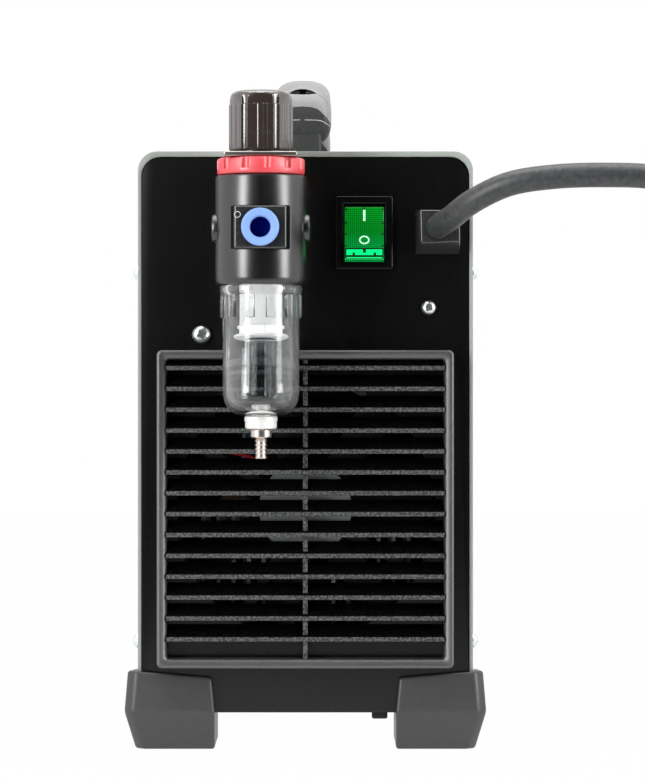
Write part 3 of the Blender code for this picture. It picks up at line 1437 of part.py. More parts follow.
def build_handle():
    """The handle is lofted through its stations: a bulb at each end and a raised grip."""
    half = HANDLE_LENGTH / 2.0
    rear = [(MIDDLE - half + run, *rest) for run, *rest in HANDLE_STATIONS]
    front = [(MIDDLE + half - run, *rest) for run, *rest in reversed(HANDLE_STATIONS)]
    bm = bmesh.new()
    rings = [handle_ring(bm, *station) for station in rear + front]
    for ring, following in zip(rings, rings[1:]):
        bmesh.ops.bridge_loops(bm, edges=ring + following)
    for ring in (rings[0], rings[-1]):
        bmesh.ops.edgeloop_fill(bm, edges=ring)
    bmesh.ops.recalc_face_normals(bm, faces=bm.faces)
    mesh = bpy.data.meshes.new("handle")
    bm.to_mesh(mesh)
    bm.free()
    mesh.shade_smooth()
    mesh.set_sharp_from_angle(angle=math.radians(50.0))
    handle = place("handle", mesh, (0.0, 0.0, 0.0), "+Z", "grey_plastic")
    foot_size = (HANDLE_FOOT_WIDTH, HANDLE_BULB - 0.004, 0.014)
    for label, at in zip(("rear", "front"), handle_screw_places(CASE_TOP + CLEAR + 0.007)):
        join(handle, box("handle_foot_" + label, foot_size, at, None, 0.0015))
    lens = arc(0.0104, 52.0, 128.0, 8, (0.0, -0.0082)) + [(-0.0030, -0.0005), (0.0030, -0.0005)]
    slot = plate("strap_slot", [lens], 0.012, (0, 0, 0), "-Y")
    slot_z = CASE_TOP + HANDLE_SLOT_RISE
    inset = half - 0.011
    places = [(HANDLE_X, MIDDLE - inset, slot_z), (HANDLE_X, MIDDLE + inset, slot_z)]
    cut(handle, repeated("strap_slot_cutter", slot, places))
    sockets = rod("handle_socket", HANDLE_SCREW_RADIUS + CLEAR, 0.024, (0, 0, 0), "+Z", sides=12)
    cut(handle, repeated("handle_socket_cutter", sockets, handle_screw_places(CASE_TOP)))
    profile = pan_head_profile(0.0036, HANDLE_SCREW_RADIUS, 0.012)
    seat = CASE_TOP - COVER_SHEET - CLEAR
    for label, at in zip(("rear", "front"), handle_screw_places(seat)):
        turned("handle_screw_" + label, profile, at, "-Z", "zinc", 12)
    return handle


# ---------------------------------------------------------------- control panel


def socket_piece(name, sizes, at, look):
    """A round panel socket: a collar in front, a neck through the panel and a blind bore."""
    radius, bore, reach, depth = sizes
    neck = radius * SOCKET_NECK
    profile = [
        (0.0, reach - depth),
        (bore, reach - depth),
        (bore, reach - 0.0008),
        (bore + 0.0008, reach),
        (radius - 0.001, reach),
        (radius, reach - 0.001),
        (radius, CLEAR),
        (neck, CLEAR),
        (neck, reach - depth - 0.003),
        (0.0, reach - depth - 0.003),
    ]
    turned(name, profile, at, "+Y", look, 24)
    return rod(name + "_hole", neck + CLEAR, 0.02, at, "+Y", sides=28)


def build_sockets():
    torch = (TORCH_RADIUS, TORCH_BORE, TORCH_REACH, TORCH_DEPTH)
    earth = (EARTH_RADIUS, EARTH_BORE, EARTH_REACH, EARTH_DEPTH)
    signal = (SIGNAL_RADIUS, SIGNAL_BORE, SIGNAL_REACH, SIGNAL_DEPTH)
    return [
        socket_piece("torch_connector", torch, (-TORCH_X, FRONT, TORCH_Z), "brass"),
        socket_piece("earth_socket", earth, (TORCH_X, FRONT, TORCH_Z), "moulded_black"),
        socket_piece("signal_socket", signal, (0.0, FRONT, SIGNAL_Z), "zinc"),
    ]


def build_controls():
    """Everything on the control panel, and the holes that it needs."""
    size = (DISPLAY_WIDTH, DISPLAY_PROUD, DISPLAY_HEIGHT)
    at = (0, FRONT + CLEAR + DISPLAY_PROUD / 2.0, DISPLAY_Z)
    window = box("display_window", size, at, "display_dark", 0.0008)
    width, height = DISPLAY_WIDTH - 2.0 * DISPLAY_LIP, DISPLAY_HEIGHT - 2.0 * DISPLAY_LIP
    body_y = FRONT + CLEAR + DISPLAY_PROUD / 2.0 - DISPLAY_BODY / 2.0
    join(window, box("display_body", (width, DISPLAY_BODY, height), (0, body_y, DISPLAY_Z)))
    opening = (width + 2.0 * CLEAR, 0.02, height + 2.0 * CLEAR)
    holes = [box("display_hole", opening, (0, FRONT, DISPLAY_Z)), *build_sockets()]
    back = PANEL_SHEET + CLEAR
    lamp = [
        (0.0, 0.0022),
        (LAMP_RADIUS * 0.7, 0.0016),
        (LAMP_RADIUS, 0.0),
        (LAMP_RADIUS, -back - 0.001),
        (0.0, -back - 0.001),
    ]
    places = [(s * LAMP_PITCH, FRONT, LAMP_Z) for s in (-1, 0, 1)]
    bar = (2.0 * (LAMP_PITCH + LAMP_RADIUS), 0.0025, 2.0 * LAMP_RADIUS)
    strip = box("lamp_strip", bar, (0, FRONT - back - 0.00125, LAMP_Z), "lamp_amber")
    join(strip, repeated("lamp_lenses", turned("pattern", lamp, (0, 0, 0), "+Y", steps=12), places))
    pattern = rod("pattern", LAMP_RADIUS + CLEAR, 0.02, (0, 0, 0), "+Y", sides=12)
    holes.append(repeated("lamp_holes", pattern, places))
    seat = 0.0008
    knob = [
        (0.0, DIAL_HEIGHT),
        (DIAL_RADIUS - 0.004, DIAL_HEIGHT),
        (DIAL_RADIUS - 0.003, DIAL_HEIGHT - 0.001),
        (DIAL_RADIUS - 0.0015, seat + 0.004),
        (DIAL_RADIUS, seat + 0.003),
        (DIAL_RADIUS, seat),
        (DIAL_SHAFT + RUNNING, seat),
        (DIAL_SHAFT + RUNNING, DIAL_HEIGHT - 0.003),
        (0.0, DIAL_HEIGHT - 0.003),
    ]
    dial = turned("current_knob", knob, (DIAL_X, FRONT, DIAL_Z), "+Y", "gloss_black", 32)
    at = (DIAL_X, FRONT + DIAL_HEIGHT, DIAL_Z + DIAL_RADIUS / 2.0)
    cut(dial, box("pointer_cut", (0.0012, 0.004, DIAL_RADIUS - 0.003), at))
    pot = [
        (0.0, DIAL_HEIGHT - 0.0035),
        (DIAL_SHAFT, DIAL_HEIGHT - 0.0035),
        (DIAL_SHAFT, -PANEL_SHEET - CLEAR),
        (0.010, -PANEL_SHEET - CLEAR),
        (0.010, -0.012),
        (0.0, -0.012),
    ]
    turned("potentiometer", pot, (DIAL_X, FRONT, DIAL_Z), "+Y", "zinc", 20)
    holes.append(rod("pot_hole", DIAL_SHAFT + CLEAR, 0.02, (DIAL_X, FRONT, DIAL_Z), "+Y", sides=16))
    holes.append(build_mode_switch())
    return holes


def build_mode_switch():
    proud = 0.0018
    at = (MODE_X, FRONT + CLEAR + proud / 2.0, DIAL_Z)
    bezel = box("mode_bezel", (MODE_WIDTH, proud, MODE_HEIGHT), at, "gloss_black", 0.0006)
    body = (MODE_WIDTH - 0.0024, 0.016, MODE_HEIGHT - 0.0024)
    join(bezel, box("mode_body", body, (MODE_X, FRONT + proud / 2.0 - 0.008, DIAL_Z)))
    radius = MODE_WIDTH / 2.0 - 0.0028
    width = MODE_HEIGHT - 0.006
    window = box(
        "mode_window",
        (2.0 * (radius + RUNNING), 0.012, width + 2.0 * RUNNING),
        (MODE_X, FRONT + 0.001, DIAL_Z),
    )
    cut(bezel, window)
    outline = rocker_outline(radius, ROCKER_TILT)
    rocker = plate("mode_rocker", [outline], width, (0, 0, 0), "+Z", "gloss_black")
    turn = Matrix.Rotation(math.radians(-90.0) + ROCKER_TILT, 4, "Z")
    rocker.matrix_world = Matrix.Translation((MODE_X, FRONT + proud - 0.001, DIAL_Z)) @ turn
    bevelled(rocker, 0.0003, 1)
    opening = (body[0] + 2.0 * CLEAR, 0.02, body[2] + 2.0 * CLEAR)
    return box("mode_hole", opening, (MODE_X, FRONT, DIAL_Z))


# ----------------------------------------------------------------------- inside


def board_corners(z):
    x = BOARD_WIDTH / 2.0 - 0.008
    return [
        (side * x, y, z)
        for side in (-1, 1)
        for y in (BOARD_REAR + 0.008, BOARD_REAR + BOARD_LENGTH - 0.008)
    ]


def build_heat_sinks():
    """Two extruded heat sinks: a thick foot with upright fins along the fan's air."""
    foot = 0.006
    fin = 0.0018
    half = SINK_WIDTH / 2.0
    outline = [(-half, 0.0), (half, 0.0)]
    pitch = (SINK_WIDTH - fin) / (SINK_FINS - 1)
    for i in reversed(range(SINK_FINS)):
        left = -half + pitch * i
        outline += [(left + fin, SINK_HEIGHT), (left, SINK_HEIGHT)]
        if i:
            outline += [(left, foot), (left - pitch + fin, foot)]
    y = BOARD_REAR + 0.020 + SINK_LENGTH / 2.0
    for label, side in (("left", -1), ("right", 1)):
        at = (side * BOARD_WIDTH / 4.0, y, BOARD_TOP + CLEAR)
        plate("heat_sink_" + label, [outline], SINK_LENGTH, at, "-Y", "aluminium")


def build_inside():
    at = (0.0, BOARD_REAR + BOARD_LENGTH / 2.0, BOARD_BOTTOM + BOARD_SHEET / 2.0)
    box("main_board", (BOARD_WIDTH, BOARD_LENGTH, BOARD_SHEET), at, "board_green")
    build_heat_sinks()
    core_y = BOARD_REAR + 0.020 + SINK_LENGTH + 0.022
    bottom = BOARD_TOP + CLEAR
    leg = 0.010
    window = [
        (-CORE_WIDTH / 2 + leg, leg),
        (CORE_WIDTH / 2 - leg, leg),
        (CORE_WIDTH / 2 - leg, CORE_HEIGHT - leg),
        (-CORE_WIDTH / 2 + leg, CORE_HEIGHT - leg),
    ]
    outer = [
        (-CORE_WIDTH / 2, 0.0),
        (CORE_WIDTH / 2, 0.0),
        (CORE_WIDTH / 2, CORE_HEIGHT),
        (-CORE_WIDTH / 2, CORE_HEIGHT),
    ]
    core = plate("transformer_core", [outer, window], CORE_DEPTH, (0.0, core_y, bottom), "-Y", "ferrite")
    middle = CORE_HEIGHT / 2.0
    limb = (leg * 1.2, CORE_DEPTH * 0.7, CORE_HEIGHT - leg)
    join(core, box("core_limb", limb, (0, core_y, bottom + middle)))
    winding_half = CORE_WIDTH / 2.0 - leg - CLEAR
    depth_half = CORE_DEPTH * 0.35 + WINDING_WALL
    rim = rounded_outline(winding_half, -depth_half, depth_half, 0.004, 0.004, 4)
    bore_x = leg * 0.6 + CLEAR
    bore_y = CORE_DEPTH * 0.35 + CLEAR
    bore = [(-bore_x, -bore_y), (bore_x, -bore_y), (bore_x, bore_y), (-bore_x, bore_y)]
    height = CORE_HEIGHT - 2.0 * leg - 2.0 * CLEAR
    plate("transformer_winding", [rim, bore], height, (0, core_y, bottom + middle), "+Z", "copper")
    can = [
        (0.0, CAPACITOR_HEIGHT),
        (CAPACITOR_RADIUS - 0.001, CAPACITOR_HEIGHT),
        (CAPACITOR_RADIUS, CAPACITOR_HEIGHT - 0.001),
        (CAPACITOR_RADIUS, 0.0),
        (0.0, 0.0),
    ]
    cap_x = BOARD_WIDTH / 2.0 - CAPACITOR_RADIUS - 0.003
    turned("capacitor", can, (cap_x, core_y, bottom), "+Z", "gloss_black", 24)


def build_stud():
    """Short black stud under the case, near the right rear foot."""
    at = (STUD_X, REAR + STUD_INSET, CASE_BOTTOM - CLEAR - STUD_HEIGHT / 2.0)
    return box("base_stud", (STUD_SIZE, STUD_SIZE, STUD_HEIGHT), at, "moulded_black", 0.0006, 1)


def build_unit():
    rear = pan("rear_panel", "-Y", REAR)
    front = pan("front_panel", "+Y", FRONT)
    fan_hole = rod("panel_fan_hole", FAN_BORE, 0.02, (0, REAR, FAN_AXIS_Z), "-Y", sides=40)
    corner = rod("pattern", FAN_HOLE, 0.02, (0, 0, 0), "-Y", sides=12)
    corners = repeated("panel_fan_screw_holes", corner, fan_corner_places(REAR))
    rear_holes = [fan_hole, corners, build_switch(), build_gland(), build_air_line()]
    rear_holes.append(build_panel_screws())
    cut(rear, *rear_holes, screw_line_cutter("rear_flange_cutter"))
    cut(front, *build_controls(), screw_line_cutter("front_flange_cutter"))
    stud_holes = foot_stud_cutter("flange_stud_holes", CASE_BOTTOM)
    cut(rear, stud_holes)
    cut(front, stud_holes)
    build_cover()
    build_base()
    for side, across in ((-1, "left"), (1, "right")):
        for end, along in ((-1, "rear"), (1, "front")):
            build_foot("foot_" + along + "_" + across, side, end)
    build_stud()
    build_grille()
    build_fan()
    build_rotor()
    build_regulator_body()
    build_port_plugs()
    build_inlet()
    build_top_works()
    build_knob()
    build_bracket()
    build_bowl()
    build_handle()
    build_inside()
    build_cord()


build_unit()
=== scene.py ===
"""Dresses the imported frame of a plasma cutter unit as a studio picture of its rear.

The frame's row coordinates are metres with +Z up. The rear panel faces -Y and the
control panel +Y. Every piece here is modelled in place, rides on one body of the frame
and stands for the nodes that it names.
"""

import logging
import math
from dataclasses import dataclass
from enum import Enum
from typing import Callable, Iterable, Mapping, Optional, Sequence

import bmesh
import bpy
from mathutils import Euler, Matrix, Vector
from mathutils.bvhtree import BVHTree

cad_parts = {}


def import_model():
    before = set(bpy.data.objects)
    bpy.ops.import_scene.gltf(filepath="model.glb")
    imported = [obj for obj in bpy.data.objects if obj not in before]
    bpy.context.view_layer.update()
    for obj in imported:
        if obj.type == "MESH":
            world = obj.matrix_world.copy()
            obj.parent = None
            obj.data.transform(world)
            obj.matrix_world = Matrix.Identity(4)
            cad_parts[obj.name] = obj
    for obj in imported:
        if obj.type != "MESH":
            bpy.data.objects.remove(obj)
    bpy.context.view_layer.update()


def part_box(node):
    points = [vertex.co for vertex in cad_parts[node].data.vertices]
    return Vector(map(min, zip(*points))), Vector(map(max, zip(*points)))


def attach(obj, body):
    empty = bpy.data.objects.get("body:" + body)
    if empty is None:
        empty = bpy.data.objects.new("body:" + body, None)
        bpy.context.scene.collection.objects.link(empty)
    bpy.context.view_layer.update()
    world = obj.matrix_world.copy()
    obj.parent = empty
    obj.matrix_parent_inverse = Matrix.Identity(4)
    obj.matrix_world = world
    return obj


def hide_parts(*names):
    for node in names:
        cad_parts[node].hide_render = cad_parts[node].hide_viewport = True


Point2 = tuple[float, float]
Point3 = tuple[float, float, float]
Colour = tuple[float, float, float]
Input = float | Sequence[float] | bpy.types.NodeSocket

log = logging.getLogger("plasma_cutter_unit")

GAP = 0.0003  # between two pieces that touch
WHITE = (1.0, 1.0, 1.0, 1.0)
SIDES = ((-1, "left"), (1, "right"))


class Body(str, Enum):
    """The frame's bodies that carry a piece made here."""

    CASE = "case"
    POWER_ROCKER = "power_rocker"
    DIAL = "current_dial"
    PULL_KNOB = "pull_knob"
    BOWL = "bowl"
    DRAIN = "drain"
    COLLAR = "collar"


class Facing(Enum):
    """The way that a piece's own +Z axis points."""

    REAR = (math.pi / 2, 0.0, 0.0)
    RIGHT = (math.pi / 2, 0.0, math.pi / 2)
    LEFT = (math.pi / 2, 0.0, -math.pi / 2)

    @classmethod
    def side(cls, side: int) -> "Facing":
        """The way out of the left side, -1, or of the right side, 1."""
        return cls.LEFT if side < 0 else cls.RIGHT

    def matrix(self, origin: Point3 = (0.0, 0.0, 0.0)) -> Matrix:
        """The matrix that turns a piece and moves its own origin to this place."""
        return Matrix.Translation(origin) @ Euler(self.value).to_matrix().to_4x4()


def spun(degrees: float, axis: str = "Z") -> Matrix:
    """The matrix of a turn about an axis."""
    return Matrix.Rotation(math.radians(degrees), 4, axis)


# -------- finishes


class Graph:
    """The nodes of a material or a world."""

    def __init__(self, owner: bpy.types.Material | bpy.types.World) -> None:
        """Starts from an owner's own nodes.

        Args:
            owner: The material or the world.
        """
        owner.use_nodes = True
        self.tree = owner.node_tree

    @property
    def surface(self) -> bpy.types.Node:
        """The material's surface shader."""
        return self.own("Principled BSDF")

    def own(self, name: str) -> bpy.types.Node:
        """The node of this name."""
        return self.tree.nodes[name]

    def feed(self, node: bpy.types.Node, inputs: Mapping[str | int, Input]) -> None:
        """Sets a node's inputs.

        Args:
            node: The node.
            inputs: The value of each input, or the socket to link to it.
        """
        for key, value in inputs.items():
            if isinstance(value, bpy.types.NodeSocket):
                self.tree.links.new(value, node.inputs[key])
            else:
                node.inputs[key].default_value = value

    def add(
        self, kind: str, inputs: Mapping[str | int, Input], out: str | int = 0, **settings: str
    ) -> bpy.types.NodeSocket:
        """Adds a node.

        Args:
            kind: Its type, without ShaderNode.
            inputs: Its inputs, as feed takes them.
            out: The output that is wanted.
            settings: Its other settings, such as a Math node's operation.

        Returns:
            The wanted output.
        """
        node = self.tree.nodes.new("ShaderNode" + kind)
        for key, value in settings.items():
            setattr(node, key, value)
        self.feed(node, inputs)
        return node.outputs[out]


@dataclass(frozen=True)
class Finish:
    """A surface finish, built as a node material.

    Attributes:
        name: Name of the material.
        slot: The record's material slot that it belongs to. It is not used.
        colour: Linear base colour.
        roughness: Mean roughness.
        metallic: 1 for bare metal.
        grain: Scale of the surface grain, in features a metre, or 0 for none.
        relief: Strength of the grain's bump.
        mottle: How far the grain lightens and darkens the colour.
        smear: How far a broad noise varies the roughness.
        coat: Weight of a clear coat.
        transmission: 1 for a clear plastic.
        glow: Strength of its own light, for lamps and lit marks; on the separator it is painted
            light.
        ior: Index of refraction.
        specular: How strongly it mirrors its surround, 0.5 for a plain plastic.
        shade: Painted shade: how much darker its faces are that look away from the rear, and how
            much less they mirror.
        painted_side_light: Painted light: how much of a clear plastic's clearness is taken from
            its sides so that they read lighter.
    """

    name: str
    slot: str
    colour: Colour
    roughness: float
    metallic: float = 0.0
    grain: float = 0.0
    relief: float = 0.0
    mottle: float = 0.0
    smear: float = 0.0
    coat: float = 0.0
    transmission: float = 0.0
    glow: float = 0.0
    ior: float = 1.45
    specular: float = 0.5
    shade: float = 0.0
    painted_side_light: float = 0.0

    def build(self) -> bpy.types.Material:
        """Makes the material, or finds it if it is made already.

        Returns:
            The material.
        """
        name = self.name + "_finish"
        found = bpy.data.materials.get(name)
        if found:
            return found
        material = bpy.data.materials.new(name)
        graph = Graph(material)
        colour = (*self.colour, 1.0)
        inputs = {
            "Base Color": colour, "Roughness": self.roughness, "Metallic": self.metallic,
            "IOR": self.ior, "Specular IOR Level": self.specular, "Coat Weight": self.coat,
            "Coat Roughness": 0.06, "Transmission Weight": self.transmission,
        }
        if self.glow:
            inputs |= {"Emission Color": colour, "Emission Strength": self.glow}
        graph.feed(graph.surface, inputs)
        if self.grain:
            self._add_grain(graph)
        if self.smear:
            self._add_smear(graph)
        if self.shade:
            self._add_painted_shade(graph)
        if self.painted_side_light:
            self._add_painted_side_light(graph)
        return material

    def _add_grain(self, graph: Graph) -> None:
        """Adds the grain's bump and its change of colour.

        Args:
            graph: The material's nodes.
        """
        place = graph.add("TexCoord", {}, "Object")
        scale = {"Scale": self.grain, "Detail": 3.0, "Roughness": 0.6, "Vector": place}
        noise = graph.add("TexNoise", scale)
        if self.relief:
            bump = {"Strength": self.relief, "Distance": 0.0002, "Height": noise}
            graph.feed(graph.surface, {"Normal": graph.add("Bump", bump)})
        if self.mottle:
            ramp = graph.add("ValToRGB", {"Fac": noise})
            dark, light = ramp.node.color_ramp.elements
            reach = 0.165 * (1.0 - 0.75 * self.mottle)
            dark.position, light.position = 0.515 - reach, 0.515 + reach
            dark.color = (*(c * (1.0 - self.mottle) for c in self.colour), 1.0)
            raised = (min(1.0, c * (1.0 + self.mottle) + 0.004) for c in self.colour)
            light.color = (*raised, 1.0)
            graph.feed(graph.surface, {"Base Color": ramp})

    def _add_smear(self, graph: Graph) -> None:
        """Adds the broad change of roughness.

        Args:
            graph: The material's nodes.
        """
        place = graph.add("TexCoord", {}, "Object")
        broad = graph.add("TexNoise", {"Scale": 28.0, "Detail": 4.0, "Vector": place})
        spread = {
            "To Min": max(0.02, self.roughness - self.smear),
            "To Max": min(1.0, self.roughness + self.smear), "Value": broad,
        }
        graph.feed(graph.surface, {"Roughness": graph.add("MapRange", spread)})

    def _facing(self, graph: Graph, axis: str) -> bpy.types.NodeSocket:
        """How far the faces look along an axis, from -1 to 1."""
        normal = graph.add("NewGeometry", {}, "Normal")
        return graph.add("SeparateXYZ", {"Vector": normal}, axis)

    def _add_painted_shade(self, graph: Graph) -> None:
        """Paints shade on the faces that look away from the rear, and dulls their mirroring.

        Args:
            graph: The material's nodes.
        """
        facing = {"From Min": -0.97, "From Max": -0.80, "To Min": 1.0, "To Max": 1.0 - self.shade}
        lit = graph.add("MapRange", facing | {"Value": self._facing(graph, "Y")})
        base = graph.surface.inputs["Base Color"].links
        colour = base[0].from_socket if base else self.colour
        shaded = graph.add("VectorMath", {"Vector": colour, "Scale": lit}, operation="SCALE")
        dulled = graph.add("Math", {0: lit, 1: self.specular}, operation="MULTIPLY")
        graph.feed(graph.surface, {"Base Color": shaded, "Specular IOR Level": dulled})

    def _add_painted_side_light(self, graph: Graph) -> None:
        """Clouds the sides of a clear plastic so that they read lighter: painted light for the
        light that its curved walls bend.

        Args:
            graph: The material's nodes.
        """
        across = graph.add("Math", {0: self._facing(graph, "X")}, operation="ABSOLUTE")
        spread = {
            "From Min": 0.30, "From Max": 0.90, "To Min": self.transmission,
            "To Max": self.transmission - self.painted_side_light, "Value": across,
        }
        graph.feed(graph.surface, {"Transmission Weight": graph.add("MapRange", spread)})


POWDER_BLACK = Finish(
    "powder_black", "black_paint", (0.0006, 0.0007, 0.0006), 0.27, grain=2600.0,
    relief=0.03, mottle=0.25, smear=0.03, specular=0.60,
)
COVER_PAINT = Finish(
    "cover_paint", "cover_paint", (0.42, 0.45, 0.42), 0.38, grain=1800.0, relief=0.10,
    mottle=0.04, smear=0.05,
)
# The slats: the rim's dark plastic with a lighter base, a painted highlight on their front edges,
# and painted shade on the faces behind them. The speckle is the moulding's grain.
GRILLE_SLATS_PAINTED_LIGHT = Finish(
    "grille_plastic", "grille_plastic", (0.070, 0.071, 0.072), 0.50, grain=1000.0,
    relief=0.60, mottle=0.75, smear=0.08, shade=0.96,
)
GRILLE_RIM = Finish(
    "grille_rim", "grille_plastic", (0.009, 0.009, 0.009), 0.46, grain=1000.0,
    relief=0.45, mottle=0.60, smear=0.06, specular=1.0, ior=1.75,
)
SMOOTH_BLACK = Finish(
    "smooth_black", "black_plastic", (0.003, 0.003, 0.0034), 0.24, grain=900.0,
    relief=0.03, smear=0.05, specular=0.4,
)
SATIN_BLACK = Finish(
    "satin_black", "grille_plastic", (0.008, 0.008, 0.0085), 0.42, grain=1400.0,
    relief=0.18, mottle=0.2,
)
ENTRY_BLACK = Finish(
    "entry_black", "grille_plastic", (0.014, 0.014, 0.0145), 0.40, grain=1000.0,
    relief=0.40, mottle=0.60, smear=0.08, specular=0.9, coat=0.8,
)
REGULATOR_BLACK = Finish(
    "regulator_black", "black_plastic", (0.004, 0.004, 0.005), 0.28, grain=1200.0,
    relief=0.10, smear=0.05, specular=0.95, ior=1.55,
)
KNOB_BROWN = Finish(
    "knob_brown", "knob_plastic", (0.040, 0.028, 0.024), 0.22, grain=800.0, relief=0.08,
    smear=0.05, coat=0.8, specular=1.0, ior=1.55,
)
# A red lifted towards pink: painted sheen for the broad glare on the ring. The moulding's own red
# is purer.
RING_RED_PAINTED_SHEEN = Finish(
    "ring_red", "red_plastic", (0.90, 0.040, 0.058), 0.48, grain=700.0, relief=0.03,
    smear=0.04, coat=0.2, specular=1.0, ior=1.7,
)
COLLAR_BLUE = Finish(
    "collar_blue", "blue_plastic", (0.29, 0.48, 0.95), 0.40, grain=900.0, relief=0.05,
)
# The collar's blue, darkened and kept from mirroring: painted shade deep in the inlet's bore.
BORE_PAINTED_SHADE = Finish(
    "bore_painted_shade", "blue_plastic", (0.0004, 0.006, 0.16), 0.60, specular=0.05,
)
# The bowl's sides are clouded a little so that they read lighter: painted light for the light that
# its curved walls bend.
CLEAR_BOWL = Finish(
    "clear_bowl", "clear_plastic", (0.97, 0.98, 0.98), 0.02, transmission=1.0, ior=1.49,
    painted_side_light=0.07,
)
CLEAR_SHIELD = Finish(
    "clear_shield", "clear_plastic", (0.86, 0.88, 0.90), 0.03, transmission=1.0, ior=1.45,
)
# The separator glows a little: painted light for what reaches it through the clear bowl.
WHITE_PLASTIC_PAINTED_GLOW = Finish(
    "white_plastic", "white_plastic", (0.93, 0.93, 0.93), 0.45, grain=900.0, relief=0.05,
    glow=0.25,
)
RUBBER = Finish(
    "foot_rubber", "rubber", (0.047, 0.048, 0.048), 0.42, grain=1500.0, relief=0.12,
    mottle=0.12, smear=0.12, specular=0.7,
)
CORD_SHEATH = Finish(
    "cord_sheath", "cord", (0.046, 0.048, 0.050), 0.46, grain=420.0, relief=0.10,
    mottle=0.26, smear=0.10, specular=0.7,
)
NICKEL = Finish(
    "nickel", "nickel", (0.70, 0.62, 0.57), 0.30, metallic=1.0, grain=500.0,
    relief=0.04, smear=0.06,
)
NUT_SATIN = Finish(
    "nut_satin", "nickel", (0.96, 0.94, 0.92), 0.46, metallic=0.25, grain=900.0,
    relief=0.10, smear=0.06,
)
# A bright metal darkened and browned: painted reflection of the brown knob above the bracket and
# the red ring below it.
BRACKET_PAINTED_REFLECTION = Finish(
    "bracket_painted_reflection", "zinc", (0.42, 0.38, 0.35), 0.30, metallic=1.0, grain=600.0,
    relief=0.04, smear=0.05,
)
ZINC = Finish(
    "zinc", "zinc", (0.84, 0.87, 0.87), 0.30, metallic=1.0, grain=600.0, relief=0.06,
    smear=0.08,
)
BRASS = Finish(
    "brass", "brass", (0.78, 0.58, 0.28), 0.26, metallic=1.0, grain=500.0, relief=0.05,
    smear=0.08,
)
COPPER = Finish(
    "copper_winding", "copper", (0.60, 0.23, 0.10), 0.36, metallic=1.0, grain=300.0,
    relief=0.10, smear=0.08,
)
ALUMINIUM = Finish(
    "aluminium", "aluminium", (0.80, 0.81, 0.82), 0.32, metallic=1.0, grain=500.0,
    relief=0.08, smear=0.10,
)
FERRITE = Finish(
    "ferrite", "ferrite", (0.045, 0.045, 0.050), 0.55, grain=700.0, relief=0.20, mottle=0.20,
)
BOARD_GREEN = Finish(
    "board_green", "board", (0.015, 0.13, 0.05), 0.42, grain=260.0, relief=0.10, mottle=0.30,
)
# The handle's top: its dark grey plastic painted light grey where the top lamp falls.
HANDLE_PAINTED_LIGHT = Finish(
    "handle_painted_light", "grey_plastic", (0.34, 0.34, 0.335), 0.46, grain=1100.0, relief=0.14,
    mottle=0.08, smear=0.05,
)
HANDLE_DARK = Finish(
    "handle_dark", "grey_plastic", (0.040, 0.042, 0.041), 0.50, grain=1100.0, relief=0.16,
    mottle=0.18, smear=0.05,
)
HUB_GREY = Finish(
    "hub_grey", "grille_plastic", (0.36, 0.38, 0.39), 0.42, grain=600.0, relief=0.05,
)
WIRE_RED = Finish("wire_red", "red_plastic", (0.50, 0.010, 0.020), 0.40)
MARK_WHITE = Finish("mark_white", "white_plastic", (0.80, 0.81, 0.80), 0.50)
MARK_MINT = Finish(
    "mark_mint", "lit_green", (0.52, 0.98, 0.66), 0.40, glow=0.75,
)
LAMP_AMBER = Finish("lamp_amber", "amber", (0.85, 0.36, 0.03), 0.22, glow=0.15, coat=0.4)
WINDOW_DARK = Finish("window_dark", "window", (0.020, 0.006, 0.006), 0.08, coat=0.6)
LENS_BRIGHT = Finish("lens_bright", "lit_green", (0.0, 0.86, 0.19), 0.30, glow=0.95)
LENS_DARK = Finish("lens_dark", "lit_green", (0.0, 0.035, 0.010), 0.35, glow=0.20)


@dataclass(frozen=True)
class LensFinish:
    """The lit switch lens: a fine square grid that glows brighter towards its foot.

    Attributes:
        name: Name of the material.
        slot: The record's material slot. It is not used.
        pitch: Distance between the grid's lines, in metres.
        centre_z: Height of the lens's middle.
        half_height: Half the lens's height.
    """

    name: str
    slot: str
    pitch: float
    centre_z: float
    half_height: float

    def build(self) -> bpy.types.Material:
        """Makes the material.

        Returns:
            The material.
        """
        material = bpy.data.materials.new(self.name + "_finish")
        graph = Graph(material)
        split = graph.add("SeparateXYZ", {"Vector": graph.add("TexCoord", {}, "Object")}).node
        lines = {}
        width = {"From Min": self.pitch * 0.03, "From Max": self.pitch * 0.30}
        for i, axis in enumerate("XZ"):
            cell = {0: split.outputs[axis], 1: self.pitch / 2.0}
            wave = graph.add("Math", cell, operation="PINGPONG")
            lines[i] = graph.add("MapRange", width | {"Value": wave})
        grid = graph.add("Math", lines, operation="MINIMUM")
        top, foot = self.centre_z + self.half_height, self.centre_z - self.half_height
        height = {"From Min": top, "From Max": foot, "Value": split.outputs["Z"]}
        ramp = graph.add("ValToRGB", {"Fac": graph.add("MapRange", height)})
        elements = ramp.node.color_ramp.elements
        elements[0].color = (0.0, 0.34, 0.014, 1.0)
        elements[1].color = (0.0, 0.50, 0.10, 1.0)
        elements.new(0.45).color = (0.001, 0.26, 0.014, 1.0)
        line_green = (0.0, 0.055, 0.006, 1.0)
        cells = {"A": line_green, "B": ramp, "Factor": grid}
        shade = graph.add("Mix", cells, "Result", data_type="RGBA")
        light = {"Roughness": 0.22, "Emission Strength": 0.80, "Emission Color": shade}
        graph.feed(graph.surface, light | {"Base Color": shade})
        return material


AnyFinish = Finish | LensFinish


# -------- geometry


